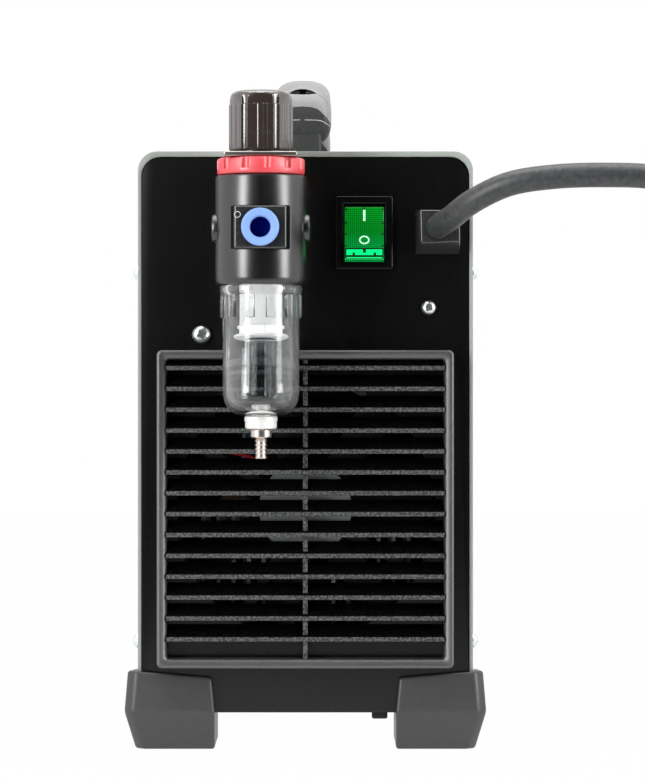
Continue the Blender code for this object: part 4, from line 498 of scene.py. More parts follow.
def arc(
    radius: float, start: float, end: float, count: int, centre: Point2 = (0.0, 0.0)
) -> list[Point2]:
    """Points on an arc.

    Args:
        radius: Radius of the arc.
        start: First angle, in degrees.
        end: Last angle, in degrees.
        count: How many points, both ends included.
        centre: Centre of the arc.

    Returns:
        The points in order.
    """
    angles = [math.radians(start + (end - start) * i / (count - 1)) for i in range(count)]
    x, y = centre
    return [(x + radius * math.cos(a), y + radius * math.sin(a)) for a in angles]


def circle(radius: float, count: int = 48, centre: Point2 = (0.0, 0.0)) -> list[Point2]:
    """The points of a closed circle, with the first not repeated."""
    return arc(radius, 0.0, 360.0 * (count - 1) / count, count, centre)


def round_rect(
    width: float, height: float, radius: float, steps: int = 6, centre: Point2 = (0.0, 0.0),
    foot_radius: Optional[float] = None,
) -> list[Point2]:
    """A rectangle with rounded corners.

    Args:
        width: Full width.
        height: Full height.
        radius: Radius of the upper corners, and of the lower ones by default.
        steps: Points on each corner.
        centre: Middle of the rectangle.
        foot_radius: Radius of the lower corners.

    Returns:
        The outline, counter-clockwise.
    """
    low = radius if foot_radius is None else foot_radius
    half_w, half_h = width / 2.0, height / 2.0
    corners = (
        (half_w - low, low - half_h, low, 270.0),
        (half_w - radius, half_h - radius, radius, 0.0),
        (radius - half_w, half_h - radius, radius, 90.0),
        (low - half_w, low - half_h, low, 180.0),
    )
    points: list[Point2] = []
    for x, y, r, start in corners:
        points += arc(r, start, start + 90.0, steps, (centre[0] + x, centre[1] + y))
    return points


def barrel(radius: float, top: float, bottom: float = 0.0) -> list[Point2]:
    """The profile of a plain cylinder for Shape.turned."""
    return [(0.0, top), (radius, top), (radius, bottom), (0.0, bottom)]


def curved(a: Vector, b: Vector, c: Vector, d: Vector, t: float) -> Vector:
    """Finds a point between b and c on a smooth curve through four points.

    Args:
        a: The point before the stretch.
        b: The start of the stretch.
        c: The end of the stretch.
        d: The point after the stretch.
        t: How far along the stretch, from 0 to 1.

    Returns:
        The point.
    """
    return 0.5 * (
        2 * b
        + (c - a) * t
        + (2 * a - 5 * b + 4 * c - d) * t**2
        + (3 * b - a - 3 * c + d) * t**3
    )


def smooth_path(knots: Sequence[Vector], spacing: float) -> list[Vector]:
    """An evenly spaced path on a smooth curve through some points.

    Args:
        knots: The points to pass through.
        spacing: Wanted distance between the path's points.

    Returns:
        The path.
    """
    ends = [knots[0] * 2 - knots[1], *knots, knots[-1] * 2 - knots[-2]]
    dense: list[Vector] = []
    for four in zip(ends, ends[1:], ends[2:], ends[3:]):
        dense += [curved(*four, i / 24.0) for i in range(24)]
    dense.append(knots[-1].copy())
    length = path_length(dense)
    count = max(2, round(length / spacing))
    step = length / count
    path, run = [dense[0]], 0.0
    for p, q in zip(dense, dense[1:]):
        stretch = (q - p).length
        while stretch > 0 and run + stretch >= step * len(path) and len(path) < count:
            path.append(p.lerp(q, (step * len(path) - run) / stretch))
        run += stretch
    path.append(dense[-1])
    return path


def path_length(path: Sequence[Vector]) -> float:
    """The length of a path."""
    return sum((q - p).length for p, q in zip(path, path[1:]))


def eased(share: float) -> float:
    """A share from 0 to 1 that starts and ends slowly."""
    return share * share * (3.0 - 2.0 * share)


def hollowed(offset: float, half_width: float) -> float:
    """How deep a round hollow is, from 1 at its middle to 0 at its sides."""
    return math.sqrt(max(0.0, 1.0 - (offset / half_width) ** 2))


class Shape:
    """A mesh in the making. Each method that changes it returns it."""

    def __init__(self) -> None:
        """Starts with no faces."""
        self.bm = bmesh.new()

    @classmethod
    def box(cls, size: Point3, centre: Point3 = (0.0, 0.0, 0.0)) -> "Shape":
        """A box.

        Args:
            size: Full size on each axis.
            centre: Middle of the box.

        Returns:
            The shape.
        """
        shape = cls()
        bmesh.ops.create_cube(shape.bm, size=1.0)
        bmesh.ops.scale(shape.bm, vec=size, verts=shape.bm.verts)
        bmesh.ops.translate(shape.bm, vec=centre, verts=shape.bm.verts)
        return shape

    @classmethod
    def turned(cls, profile: Sequence[Point2], steps: int = 64) -> "Shape":
        """A piece turned about its own Z axis.

        Args:
            profile: (radius, height) points. It is closed on the axis, or on itself.
            steps: Steps of the full turn.

        Returns:
            The shape.
        """
        shape = cls()
        bm = shape.bm
        verts = [bm.verts.new((radius, 0.0, height)) for radius, height in profile]
        edges = [bm.edges.new(pair) for pair in zip(verts, verts[1:])]
        if profile[0][0] > 0.0 or profile[-1][0] > 0.0:
            edges.append(bm.edges.new((verts[-1], verts[0])))
        bmesh.ops.spin(
            bm, geom=verts + edges, cent=(0.0, 0.0, 0.0), axis=(0.0, 0.0, 1.0),
            angle=2.0 * math.pi, steps=steps, use_merge=True,
        )
        bmesh.ops.remove_doubles(bm, verts=bm.verts, dist=1e-7)
        return shape.outward()

    @classmethod
    def prism(
        cls, outline: Sequence[Point2], low: float, high: float,
        holes: Sequence[Sequence[Point2]] = (),
    ) -> "Shape":
        """A flat outline raised along Z.

        Args:
            outline: The outer outline.
            low: Height of the underside.
            high: Height of the top.
            holes: Outlines of holes through it.

        Returns:
            The shape.
        """
        shape = cls()
        bm = shape.bm
        loops = []
        for points in (outline, *holes):
            verts = [bm.verts.new((x, y, low)) for x, y in points]
            loops += [bm.edges.new(pair) for pair in zip(verts, verts[1:] + verts[:1])]
        bmesh.ops.triangle_fill(
            bm, use_beauty=True, use_dissolve=True, edges=loops, normal=(0.0, 0.0, 1.0)
        )
        grown = bmesh.ops.extrude_face_region(bm, geom=list(bm.faces))["geom"]
        raised = [v for v in grown if isinstance(v, bmesh.types.BMVert)]
        bmesh.ops.translate(bm, vec=(0.0, 0.0, high - low), verts=raised)
        return shape.outward()

    @classmethod
    def loft(cls, rings: Sequence[Sequence[Point3]]) -> "Shape":
        """A skin over rings that all have the same number of points.

        Args:
            rings: The rings in order. The first and the last are filled.

        Returns:
            The shape.
        """
        shape = cls()
        bm = shape.bm
        loops = []
        for ring in rings:
            verts = [bm.verts.new(point) for point in ring]
            loops.append([bm.edges.new(pair) for pair in zip(verts, verts[1:] + verts[:1])])
        for loop, following in zip(loops, loops[1:]):
            bmesh.ops.bridge_loops(bm, edges=loop + following)
        for loop in (loops[0], loops[-1]):
            bmesh.ops.edgeloop_fill(bm, edges=loop)
        return shape.outward()

    @classmethod
    def sweep(cls, path: Sequence[Vector], radius: float, sides: int = 20) -> "Shape":
        """A round tube along a path, with flat ends.

        Args:
            path: Points of the centreline.
            radius: Radius of the tube.
            sides: Sides of its section.

        Returns:
            The shape.
        """
        rings = []
        points = [Vector(p) for p in path]
        heading = (points[1] - points[0]).normalized()
        across = heading.orthogonal().normalized()
        angles = [2.0 * math.pi * k / sides for k in range(sides)]
        for i, point in enumerate(points):
            ahead = points[min(i + 1, len(points) - 1)]
            behind = points[max(i - 1, 0)]
            turned_to = (ahead - behind).normalized()
            across = heading.rotation_difference(turned_to) @ across
            across = (across - turned_to * across.dot(turned_to)).normalized()
            heading = turned_to
            up = heading.cross(across)
            spokes = [across * math.cos(a) + up * math.sin(a) for a in angles]
            rings.append([point + spoke * radius for spoke in spokes])
        return cls.loft(rings)

    @classmethod
    def group(cls, shapes: Iterable["Shape"]) -> "Shape":
        """Several shapes as one. They are used up."""
        return cls().with_copies(shapes)

    def outward(self) -> "Shape":
        """Turns all faces outwards."""
        bmesh.ops.recalc_face_normals(self.bm, faces=self.bm.faces)
        return self

    def bevel(
        self, width: float, segments: int = 3, angle: float = 30.0,
        where: Callable[[Vector], bool] = lambda middle: True,
    ) -> "Shape":
        """Rounds the sharp edges.

        Args:
            width: Width of the rounding.
            segments: Segments across it.
            angle: Only edges sharper than this many degrees are rounded.
            where: Picks the edges to round by their middle.

        Returns:
            The shape.
        """
        limit = math.radians(angle)
        sharp = [
            e
            for e in self.bm.edges
            if len(e.link_faces) == 2
            and e.calc_face_angle(0.0) > limit
            and where((e.verts[0].co + e.verts[1].co) / 2.0)
        ]
        bmesh.ops.bevel(
            self.bm, geom=sharp, offset=width, offset_type="OFFSET", segments=segments,
            profile=0.5, affect="EDGES", material=-1, clamp_overlap=True,
        )
        return self

    def moved(self, matrix: Matrix) -> "Shape":
        """Moves and turns the whole shape by a matrix."""
        bmesh.ops.transform(self.bm, matrix=matrix, verts=self.bm.verts)
        return self

    def with_copies(self, others: Iterable["Shape"]) -> "Shape":
        """Adds other shapes to this one.

        Args:
            others: The shapes. They are used up.

        Returns:
            The shape.
        """
        for other in others:
            mesh = other.mesh("part")
            self.bm.from_mesh(mesh)
            bpy.data.meshes.remove(mesh)
        return self

    def mesh(self, name: str) -> bpy.types.Mesh:
        """Turns the shape into a mesh of this name. The shape is used up."""
        mesh = bpy.data.meshes.new(name)
        self.bm.to_mesh(mesh)
        self.bm.free()
        return mesh

    def minus(self, *tools: "Shape") -> "Shape":
        """Cuts other shapes from this one.

        Args:
            tools: The shapes to cut. They are used up.

        Returns:
            The shape.
        """
        target = linked("target", self.mesh("target"))
        helpers = []
        for tool in tools:
            modifier = target.modifiers.new("cut", "BOOLEAN")
            modifier.operation = "DIFFERENCE"
            modifier.solver = "EXACT"
            modifier.object = linked("tool", tool.mesh("tool"))
            helpers.append(modifier.object)
        bpy.context.view_layer.update()
        graph = bpy.context.evaluated_depsgraph_get()
        result = bpy.data.meshes.new_from_object(target.evaluated_get(graph))
        self.bm = bmesh.new()
        self.bm.from_mesh(result)
        bpy.data.meshes.remove(result)
        for obj in (target, *helpers):
            data = obj.data
            bpy.data.objects.remove(obj, do_unlink=True)
            bpy.data.meshes.remove(data)
        bmesh.ops.dissolve_degenerate(self.bm, dist=1e-6, edges=self.bm.edges)
        return self

    def finished(
        self, name: str, finish: AnyFinish, body: Body = Body.CASE,
        stands_for: Sequence[str] = (), smooth: float = 32.0,
    ) -> bpy.types.Object:
        """Makes the object, puts its finish on and ties it to the frame.

        Args:
            name: Name of the object.
            finish: Its finish.
            body: The body that it rides on.
            stands_for: The frame's nodes that it takes the place of.
            smooth: Edges flatter than this many degrees are shaded smooth.

        Returns:
            The object.
        """
        mesh = self.mesh(name)
        mesh.shade_smooth()
        mesh.set_sharp_from_angle(angle=math.radians(smooth))
        mesh.materials.append(finish.build())
        obj = linked(name, mesh)
        if stands_for:
            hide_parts(*stands_for)
        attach(obj, body.value)
        log.info("%s: %d faces, %s", name, len(mesh.polygons), finish.name)
        return obj


def linked(name: str, data: Optional[bpy.types.ID]) -> bpy.types.Object:
    """Makes an object of a mesh, a camera or a light, and puts it in the scene.

    Args:
        name: Name of the object.
        data: What it shows.

    Returns:
        The object.
    """
    obj = bpy.data.objects.new(name, data)
    bpy.context.scene.collection.objects.link(obj)
    return obj


def dress(node: str, finish: AnyFinish, rounding: float = 0.0) -> None:
    """Gives a node of the frame its finish, and softens its edges.

    Args:
        node: Name of the node.
        finish: Its finish.
        rounding: Width of the edge rounding, or 0 for none.
    """
    obj = bpy.data.objects[node]
    obj.data.materials.clear()
    obj.data.materials.append(finish.build())
    if rounding:
        bevel = obj.modifiers.new("edge", "BEVEL")
        bevel.width = rounding
        bevel.segments = 2
        bevel.limit_method = "ANGLE"
        bevel.angle_limit = math.radians(35.0)
        bevel.harden_normals = False
    log.info("%s keeps its own solid, %s", node, finish.name)


# -------- studio


@dataclass(frozen=True)
class Layout:
    """The frame's main planes, read from its nodes.

    Attributes:
        rear: Y of the rear panel's face.
        front: Y of the control panel's face.
        half: Half the cover's width.
        bottom: Z of the case's underside.
        top: Z of the case's top.
    """

    rear: float
    front: float
    half: float
    bottom: float
    top: float

    @classmethod
    def read(cls) -> "Layout":
        """Reads the planes.

        Returns:
            The layout.
        """
        _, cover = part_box("top_cover")
        rear_panel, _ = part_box("rear_panel")
        _, front_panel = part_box("front_panel")
        return cls(rear_panel[1], front_panel[1], cover[0], rear_panel[2], cover[2])

    @property
    def middle(self) -> float:
        """Y half way between the panels."""
        return (self.rear + self.front) / 2.0

    def on_rear(self, x: float = 0.0, z: float = 0.0, out: float = 0.0) -> Matrix:
        """The matrix to a place before the rear panel, with +Z out of the panel."""
        return Facing.REAR.matrix((x, self.rear - out, z))


@dataclass
class OnFrame:
    """A part of the picture that is built on the frame's main planes.

    Attributes:
        layout: The frame's main planes.
    """

    layout: Layout


@dataclass
class Studio(OnFrame):
    """Camera, lights and a white surround.

    Attributes:
        distance: Camera to the rear panel.
        aim_x: X of the camera.
        aim_z: Height of the camera.
        pixels_per_metre: Scale of the picture at the rear panel.
        width: Width of the picture in pixels.
        sensor: Width of the camera's sensor in millimetres.
        light_aim: Height that the lights point at.
        white_for: The kinds of ray that see the surround as white.
    """

    distance: float = 1.7
    aim_x: float = 0.0075
    aim_z: float = 0.157
    pixels_per_metre: float = 2280.0
    width: int = 645
    sensor: float = 36.0
    light_aim: float = 0.16
    white_for: tuple[str, ...] = ("Is Camera Ray", "Is Glossy Ray", "Is Transmission Ray")

    def build(self) -> None:
        """Sets up the whole studio."""
        self._camera()
        self._surround()
        self._stage()
        self._lights()
        view = bpy.context.scene.view_settings
        view.view_transform = "Standard"
        view.look = "None"

    def _camera(self) -> None:
        """Looks square at the rear panel."""
        data = bpy.data.cameras.new("camera")
        data.sensor_fit = "HORIZONTAL"
        data.sensor_width = self.sensor
        data.lens = self.sensor * self.distance * self.pixels_per_metre / self.width
        data.clip_start = 0.05
        data.clip_end = 30.0
        camera = linked("camera", data)
        camera.location = (self.aim_x, self.layout.rear - self.distance, self.aim_z)
        camera.rotation_euler = (math.pi / 2.0, 0.0, 0.0)
        bpy.context.scene.camera = camera
        log.info("camera at %s, lens %.1f mm", tuple(camera.location), data.lens)

    def _seen_by(self, graph: Graph, paths: Sequence[str]) -> bpy.types.NodeSocket:
        """Tells some kinds of ray from the rest.

        Args:
            graph: The nodes to add to.
            paths: The kinds of ray.

        Returns:
            A socket that is 1 for those rays and 0 for the others.
        """
        kinds = graph.add("LightPath", {}).node
        socket = kinds.outputs[paths[0]]
        for path in paths[1:]:
            either = {0: socket, 1: kinds.outputs[path]}
            socket = graph.add("Math", either, operation="MAXIMUM")
        return socket

    def _surround(self) -> None:
        """A dim fill for the light, and white for the eye and for mirrors."""
        world = bpy.data.worlds.new("surround")
        graph = Graph(world)
        fill = graph.own("Background")
        graph.feed(fill, {"Color": (0.24, 0.245, 0.25, 1.0)})
        white = graph.add("Background", {"Color": WHITE})
        share = self._seen_by(graph, self.white_for)
        mix = graph.add("MixShader", {"Fac": share, 1: fill.outputs[0], 2: white})
        graph.feed(graph.own("World Output"), {"Surface": mix})
        bpy.context.scene.world = world

    def _stage(self) -> None:
        """The floor, and black cards behind and below the camera for the panel to mirror."""
        y = self.layout.rear
        floor = (6.0, 6.0, 0.01), (0.0, 0.0, -0.0052)
        self._flat("floor", *floor, 0.80, self.white_for, 0.985, "Emission")
        for name, size, at in (
            ("dark_card", (4.6, 0.01, 2.7), (0.0, y - 2.4, 1.36)),
            ("dark_mat", (4.6, 1.9, 0.002), (0.0, y - 1.42, 0.003)),
        ):
            self._flat(name, size, at, 0.005, ["Is Camera Ray"], 1.0, "BsdfTransparent")

    def _flat(
        self, name: str, size: Point3, at: Point3, grey: float, paths: Sequence[str],
        share: float, shown: str,
    ) -> None:
        """Adds a flat piece of the studio.

        Args:
            name: Its name.
            size: Its size.
            at: Its middle.
            grey: The grey that it has for light.
            paths: The kinds of ray that see another shader instead.
            share: How much of what they see is that shader.
            shown: The type of that shader.
        """
        material = bpy.data.materials.new(name)
        graph = Graph(material)
        plain = graph.surface
        graph.feed(plain, {"Base Color": (grey, grey, grey, 1.0), "Roughness": 0.8})
        part = {0: self._seen_by(graph, paths), 1: share}
        blend = {"Fac": graph.add("Math", part, operation="MULTIPLY"), 1: plain.outputs[0]}
        mix = graph.add("MixShader", blend | {2: graph.add(shown, {})})
        graph.feed(graph.own("Material Output"), {"Surface": mix})
        mesh = Shape.box(size, at).mesh(name)
        mesh.materials.append(material)
        linked(name, mesh)

    def _lights(self) -> None:
        """Three soft panels: left, right and above."""
        y = self.layout.rear
        for name, at, size, power in (
            ("left", (-1.00, y - 1.00, 0.45), (0.42, 1.1), 16.0),
            ("right", (1.10, y - 0.60, 0.45), (0.40, 1.1), 12.0),
            ("top", (0.0, y + 0.05, 1.20), (1.1, 0.8), 9.0),
        ):
            data = bpy.data.lights.new(name, "AREA")
            data.shape = "RECTANGLE"
            data.size, data.size_y = size
            data.energy = power
            light = linked(name, data)
            light.location = at
            aim = Vector((0.0, y, self.light_aim)) - Vector(at)
            light.rotation_euler = aim.to_track_quat("-Z", "Y").to_euler()


# -------- case


@dataclass
class CaseShell(OnFrame):
    """Folded cover, rear panel, base plate and the screws that hold them.

    Attributes:
        sheet: Thickness of the cover.
        lip: Thickness of the cover's top edge.
        corner: Radius of the cover's top corners.
        drop: How far the cover's top stays below the frame's.
        panel_sheet: Thickness of the panels.
        flange: Depth of the panels' flanges.
        bend: Rounding of the rear panel's bottom bend.
        vent: Length, width and end radius of a louvre.
        vent_pitch: Height from louvre to louvre.
        vents: Louvres in a group.
        vent_z: Height of a group's middle.
        vent_y: Distance of a group from the middle of the case.
        fan: Height and radius of the fan's opening.
        switch_hole: Width, height, x and z of the switch's hole.
        entry_hole: Radius, x and z of the cord's hole.
        air_hole: Radius, x and z of the air line's hole.
        screw_inset: Distance of the cover's screws from its ends.
        screw_rows: Heights of the cover's screws.
        panel_screws: Side, head radius, x, z and turn of the rear panel's screws.
    """

    sheet: float = 0.0016
    lip: float = 0.0024
    corner: float = 0.0085
    drop: float = 0.0006
    panel_sheet: float = 0.0012
    flange: float = 0.014
    bend: float = 0.0020
    vent: Point3 = (0.044, 0.0032, 0.00155)
    vent_pitch: float = 0.0085
    vents: int = 9
    vent_z: float = 0.150
    vent_y: float = 0.085
    fan: Point2 = (0.1054, 0.0575)
    switch_hole: tuple[float, ...] = (0.0222, 0.0282, 0.0258, 0.2264)
    entry_hole: Point3 = (0.0071, 0.0579, 0.2264)
    air_hole: Point3 = (0.0065, -0.019, 0.2268)
    screw_inset: float = 0.008
    screw_rows: Point2 = (0.047, 0.209)
    panel_screws: tuple[tuple[str, float, float, float, float], ...] = (
        ("left", 0.0041, -0.0456, 0.1817, 20.0),
        ("right", 0.0032, 0.0541, 0.1935, 65.0),
    )

    def build(self) -> None:
        """Makes the shell."""
        self._rear_panel()
        self._cover()
        dress("base_plate", ZINC, 0.0002)
        dress("front_panel", POWDER_BLACK, 0.0002)
        dress("base_stud", SATIN_BLACK, 0.0003)
        self._cover_screws()
        self._panel_screws()

    def _cover(self) -> None:
        """The light cover: an arch along the case, with its louvres."""
        top = self.layout.top - self.drop
        outer = self._arch(self.layout.half, top)
        inner = self._arch(self.layout.half - self.sheet, top - self.lip)
        low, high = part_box("top_cover")
        shape = Shape.prism(outer + list(reversed(inner)), 0.0, high[1] - low[1])
        shape.moved(Facing.REAR.matrix((0.0, high[1], 0.0))).bevel(0.00035, 2, 40.0)
        shape.minus(*(self._louvre_tool(side) for side, _ in SIDES))
        shape.finished("cover", COVER_PAINT, stands_for=["top_cover"])

    def _arch(self, half: float, top: float) -> list[Point2]:
        """Draws one skin of the cover.

        Args:
            half: Half its width.
            top: Its height.

        Returns:
            The open outline, from the foot of one side to the other.
        """
        bottom, corner = self.layout.bottom + 0.001, self.corner
        right = arc(corner, 0.0, 90.0, 9, (half - corner, top - corner))
        left = arc(corner, 90.0, 180.0, 9, (corner - half, top - corner))
        return [(half, bottom), *right, *left, (-half, bottom)]

    def _louvre_tool(self, side: int) -> Shape:
        """Makes the tool for the louvres of one side, in two groups.

        Args:
            side: -1 for the left side, 1 for the right.

        Returns:
            The tool.
        """
        slot = round_rect(*self.vent, 5)
        first = self.vent_z - self.vent_pitch * (self.vents // 2)
        x = side * self.layout.half - 0.006
        tools = []
        for group in (-1, 1):
            for i in range(self.vents):
                at = (x, self.layout.middle + group * self.vent_y, first + self.vent_pitch * i)
                tools.append(Shape.prism(slot, 0.0, 0.012).moved(Facing.RIGHT.matrix(at)))
        return Shape.group(tools)

    def _rear_panel(self) -> None:
        """The black rear panel: a tray with a bent foot and four holes."""
        layout, sheet = self.layout, self.panel_sheet
        half = layout.half - self.sheet - GAP
        top = layout.top - self.drop - self.lip - GAP
        height = top - layout.bottom
        centre = (0.0, (top + layout.bottom) / 2.0)
        radius = self.corner - GAP
        outline = round_rect(2 * half, height, radius, 9, centre, 0.002)
        inside = (2 * half - 2 * sheet, height - 2 * sheet, radius - sheet)
        foot = layout.bottom + 0.0003
        body = Shape.prism(outline, -self.flange, 0.0)
        body.bevel(self.bend, 5, 60.0, lambda at: at.y < foot and at.z > -0.001)
        body.bevel(0.0005, 2, 60.0, lambda at: at.y > foot + 0.003)
        inset = round_rect(*inside, 9, centre, 0.0008)
        hollow = Shape.prism(inset, -self.flange - 0.004, -sheet)
        fan_z, fan_radius = self.fan
        width, tall, x, z = self.switch_hole
        rounds = [(fan_radius, 96, (0.0, fan_z))]
        rounds += [(r, 40, (x, z)) for r, x, z in (self.entry_hole, self.air_hole)]
        fan, *lines = [Shape.prism(circle(*hole), -0.01, 0.01) for hole in rounds]
        body.minus(hollow, fan, Shape.box((width, tall, 0.03), (x, z, 0.0)), *lines)
        body.moved(layout.on_rear())
        body.finished("rear_panel_sheet", POWDER_BLACK, stands_for=["rear_panel"])

    def _cover_screws(self) -> None:
        """Four screws in each side of the cover."""
        ends = (self.layout.rear + self.screw_inset, self.layout.front - self.screw_inset)
        for side, label in SIDES:
            x = side * (self.layout.half - 0.0002)
            places = [(x, y, z) for y in ends for z in self.screw_rows]
            heads = [
                screw_head(0.0032, 0.0026).moved(Facing.side(side).matrix(at)) for at in places
            ]
            Shape.group(heads).finished(f"cover_screws_{label}", ZINC)

    def _panel_screws(self) -> None:
        """The two bright screws of the rear panel."""
        for side, radius, x, z, turn in self.panel_screws:
            node = f"panel_screw_{side}"
            head = screw_head(radius, radius * 0.72, turn).moved(self.layout.on_rear(x, z, GAP))
            head.finished(node + "_head", ZINC, stands_for=[node])


def screw_head(radius: float, height: float, turn: float = 0.0) -> Shape:
    """A pan head with a cross recess, standing on its own XY plane.

    Args:
        radius: Radius of the head.
        height: Height of the crown.
        turn: How far the recess is turned, in degrees.

    Returns:
        The shape.
    """
    shank, depth = radius * 0.45, -0.004
    crown = ((0.45, 0.97), (0.72, 0.82), (0.90, 0.55), (0.99, 0.20))
    profile = [(0.0, height), *((radius * out, height * up) for out, up in crown)]
    profile += [(radius, 0.0), (shank, 0.0), (shank, depth), (0.0, depth)]
    size = (radius * 1.05, radius * 0.22, height)
    blades = [Shape.box(size, (0.0, 0.0, height)).moved(spun(a)) for a in (turn, turn + 90.0)]
    return Shape.turned(profile, 40).minus(*blades)


@dataclass
class CornerFeet(OnFrame):
    """Four rubber corners that wrap the case and carry it.

    Attributes:
        rise: How far the foot climbs above the case's underside.
        crease: Height where the taper to the floor starts.
        taper: How far the foot draws in at the floor.
        slope: How far its top falls from the outer corner.
        chamfer: Width of the chamfer down the outer corner.
        rounding: Rounding of the edges.
    """

    rise: float = 0.0185
    crease: float = 0.0165
    taper: float = 0.0048
    slope: float = 0.0030
    chamfer: float = 0.0036
    rounding: float = 0.0013

    def build(self) -> None:
        """Makes the four feet."""
        for side, across in SIDES:
            for end, along in ((-1, "rear"), (1, "front")):
                self._foot(f"foot_{along}_{across}", side, end)

    def _foot(self, node: str, side: int, end: int) -> None:
        """Makes one foot.

        Args:
            node: The node that it stands for.
            side: -1 on the left, 1 on the right.
            end: -1 at the rear, 1 at the front.
        """
        layout = self.layout
        low, high = (Vector(corner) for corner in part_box(node))
        x_out, x_in = (high.x, low.x) if side > 0 else (low.x, high.x)
        y_out, y_in = (high.y, low.y) if end > 0 else (low.y, high.y)
        lean = self.taper * 0.3
        rings = []
        for z, outer, inner, drop in (
            (0.0, self.taper, 0.0, 0.0), (self.crease, 0.0, 0.0, 0.0),
            (layout.bottom + self.rise, lean, lean, self.slope),
        ):
            cut, low_z = outer + self.chamfer, z - drop
            x0, x1 = x_out - side * outer, x_in + side * inner
            y0, y1 = y_out - end * outer, y_in + end * inner
            ring = [(x0, y_out - end * cut, z), (x_out - side * cut, y0, z)]
            rings.append([*ring, (x1, y0, low_z), (x1, y1, low_z), (x0, y1, low_z)])
        foot = Shape.loft(rings).bevel(self.rounding, 4, 18.0)
        length = layout.front - layout.rear + 2 * GAP + 0.0012
        size = (2.0 * layout.half + 2 * GAP, length, 0.2)
        pocket = Shape.box(size, (0.0, layout.middle, layout.bottom - GAP + 0.1))
        foot.minus(pocket).finished(node + "_rubber", RUBBER, stands_for=[node])


# -------- fan and grille


@dataclass
class FanGrille(OnFrame):
    """Moulded grille: rounded frame, raked slats and the rib that ties them.

    Attributes:
        rim: Width of the frame's border.
        corner: Radius of the frame's corners.
        bead: Radius of the rounding at the frame's inner edge.
        slats: How many slats there are.
        pitch: Height from slat to slat.
        edge: Thickness of a slat.
        rise: How far a slat climbs from its front to its back.
        top_slat: Height of the top slat's front edge.
        rib: Width of the rib.
        rib_setback: How far the rib stays behind the slats' edges.
        fan_z: Height of the fan's axis.
        hub_radius: Radius of the disc on the fan's hub.
        wire: Points of the fan's wire: across, height.
        wire_radius: Radius of the wire.
    """

    rim: float = 0.0043
    corner: float = 0.0022
    bead: float = 0.0028
    slats: int = 14
    pitch: float = 0.0091
    edge: float = 0.0022
    rise: float = 0.0051
    top_slat: float = 0.16695
    rib: float = 0.0022
    rib_setback: float = 0.0018
    fan_z: float = 0.1054
    hub_radius: float = 0.0204
    wire: tuple[Point2, ...] = (
        (-0.0120, 0.1190), (-0.0185, 0.1245), (-0.0240, 0.1280), (-0.0330, 0.1300),
        (-0.0420, 0.1316),
    )
    wire_radius: float = 0.0008

    def build(self) -> None:
        """Makes the grille and dresses the fan behind it."""
        low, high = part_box("fan_grille")
        self._frame(low, high)
        self._slats(low, high)
        dress("fan_frame", SATIN_BLACK, 0.0004)
        dress("fan_rotor", SATIN_BLACK, 0.0003)
        fan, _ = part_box("fan_frame")
        self._hub_disc(fan[1] + 0.0009)
        self._wire(fan[1] + 0.0022)

    def _frame(self, low: Point3, high: Point3) -> None:
        """Makes the frame, flared towards the slats.

        Args:
            low: The grille's lowest corner.
            high: Its highest corner.
        """
        width, depth, height = (b - a for a, b in zip(low, high))
        middle = (0.0, (high[2] + low[2]) / 2.0)
        outline = round_rect(width, height, self.corner, 5, middle)
        levels = [depth - self.bead * (1.0 - i / 8.0) for i in range(9)]
        flare = []
        for z in (-0.001, *levels, depth + 0.001):
            run = min(max(z - depth + self.bead, 0.0), self.bead)
            grow = 2.0 * (self.bead - math.sqrt(self.bead**2 - run**2) - self.rim)
            corner = 0.0008 + self.bead / 2.0 * run / self.bead
            ring = round_rect(width + grow, height + grow, corner, 4, middle)
            flare.append([(x, y, z) for x, y in ring])
        frame = Shape.prism(outline, 0.0, depth).bevel(0.0009, 3, 50.0).minus(Shape.loft(flare))
        frame.moved(Facing.REAR.matrix((0.0, high[1], 0.0)))
        frame.finished("grille_frame", GRILLE_RIM, stands_for=["fan_grille"])

    def _slats(self, low: Point3, high: Point3) -> None:
        """Makes the raked slats and the rib behind them.

        Args:
            low: The grille's lowest corner.
            high: Its highest corner.
        """
        half, end = self.edge / 2.0, high[0] - self.rim + 0.0005
        depth = high[1] - low[1] - 0.0004
        section = [(0.0, -half), (depth, self.rise - half), (depth, self.rise + half), (0.0, half)]
        bars = []
        for i in range(self.slats):
            at = (0.0, low[1] + 0.0002, self.top_slat - self.pitch * i)
            bar = Shape.prism(section, -end, end).bevel(0.00045, 3, 30.0)
            bars.append(bar.moved(Facing.RIGHT.matrix(at)))
        depth = high[1] - low[1] - self.rib_setback
        at = (0.0, low[1] + self.rib_setback + depth / 2.0, (low[2] + high[2]) / 2.0)
        size = (self.rib, depth - 0.0002, high[2] - low[2] - self.rim * 1.6)
        bars.append(Shape.box(size, at).bevel(0.0003, 2))
        # Their finish paints a highlight on the slats' front edges and shade on the faces behind
        # them.
        slats = Shape.group(bars)
        slats.finished("grille_slats", GRILLE_SLATS_PAINTED_LIGHT, stands_for=["fan_grille"])

    def _hub_disc(self, y: float) -> None:
        """Makes the bare disc on the fan's hub, at this Y."""
        rim, thick = self.hub_radius, 0.0009
        profile = [(0.0, thick), (rim - 0.0004, thick), (rim, 0.0006), (rim, 0.0), (0.0, 0.0)]
        disc = Shape.turned(profile, 64).moved(Facing.REAR.matrix((0.0, y, self.fan_z)))
        disc.finished("fan_hub_disc", HUB_GREY)

    def _wire(self, y: float) -> None:
        """Makes the fan's wire, at this Y."""
        route = smooth_path([Vector((x, y, z)) for x, z in self.wire], 0.0015)
        Shape.sweep(route, self.wire_radius, 10).finished("fan_wire", WIRE_RED)


# -------- switch


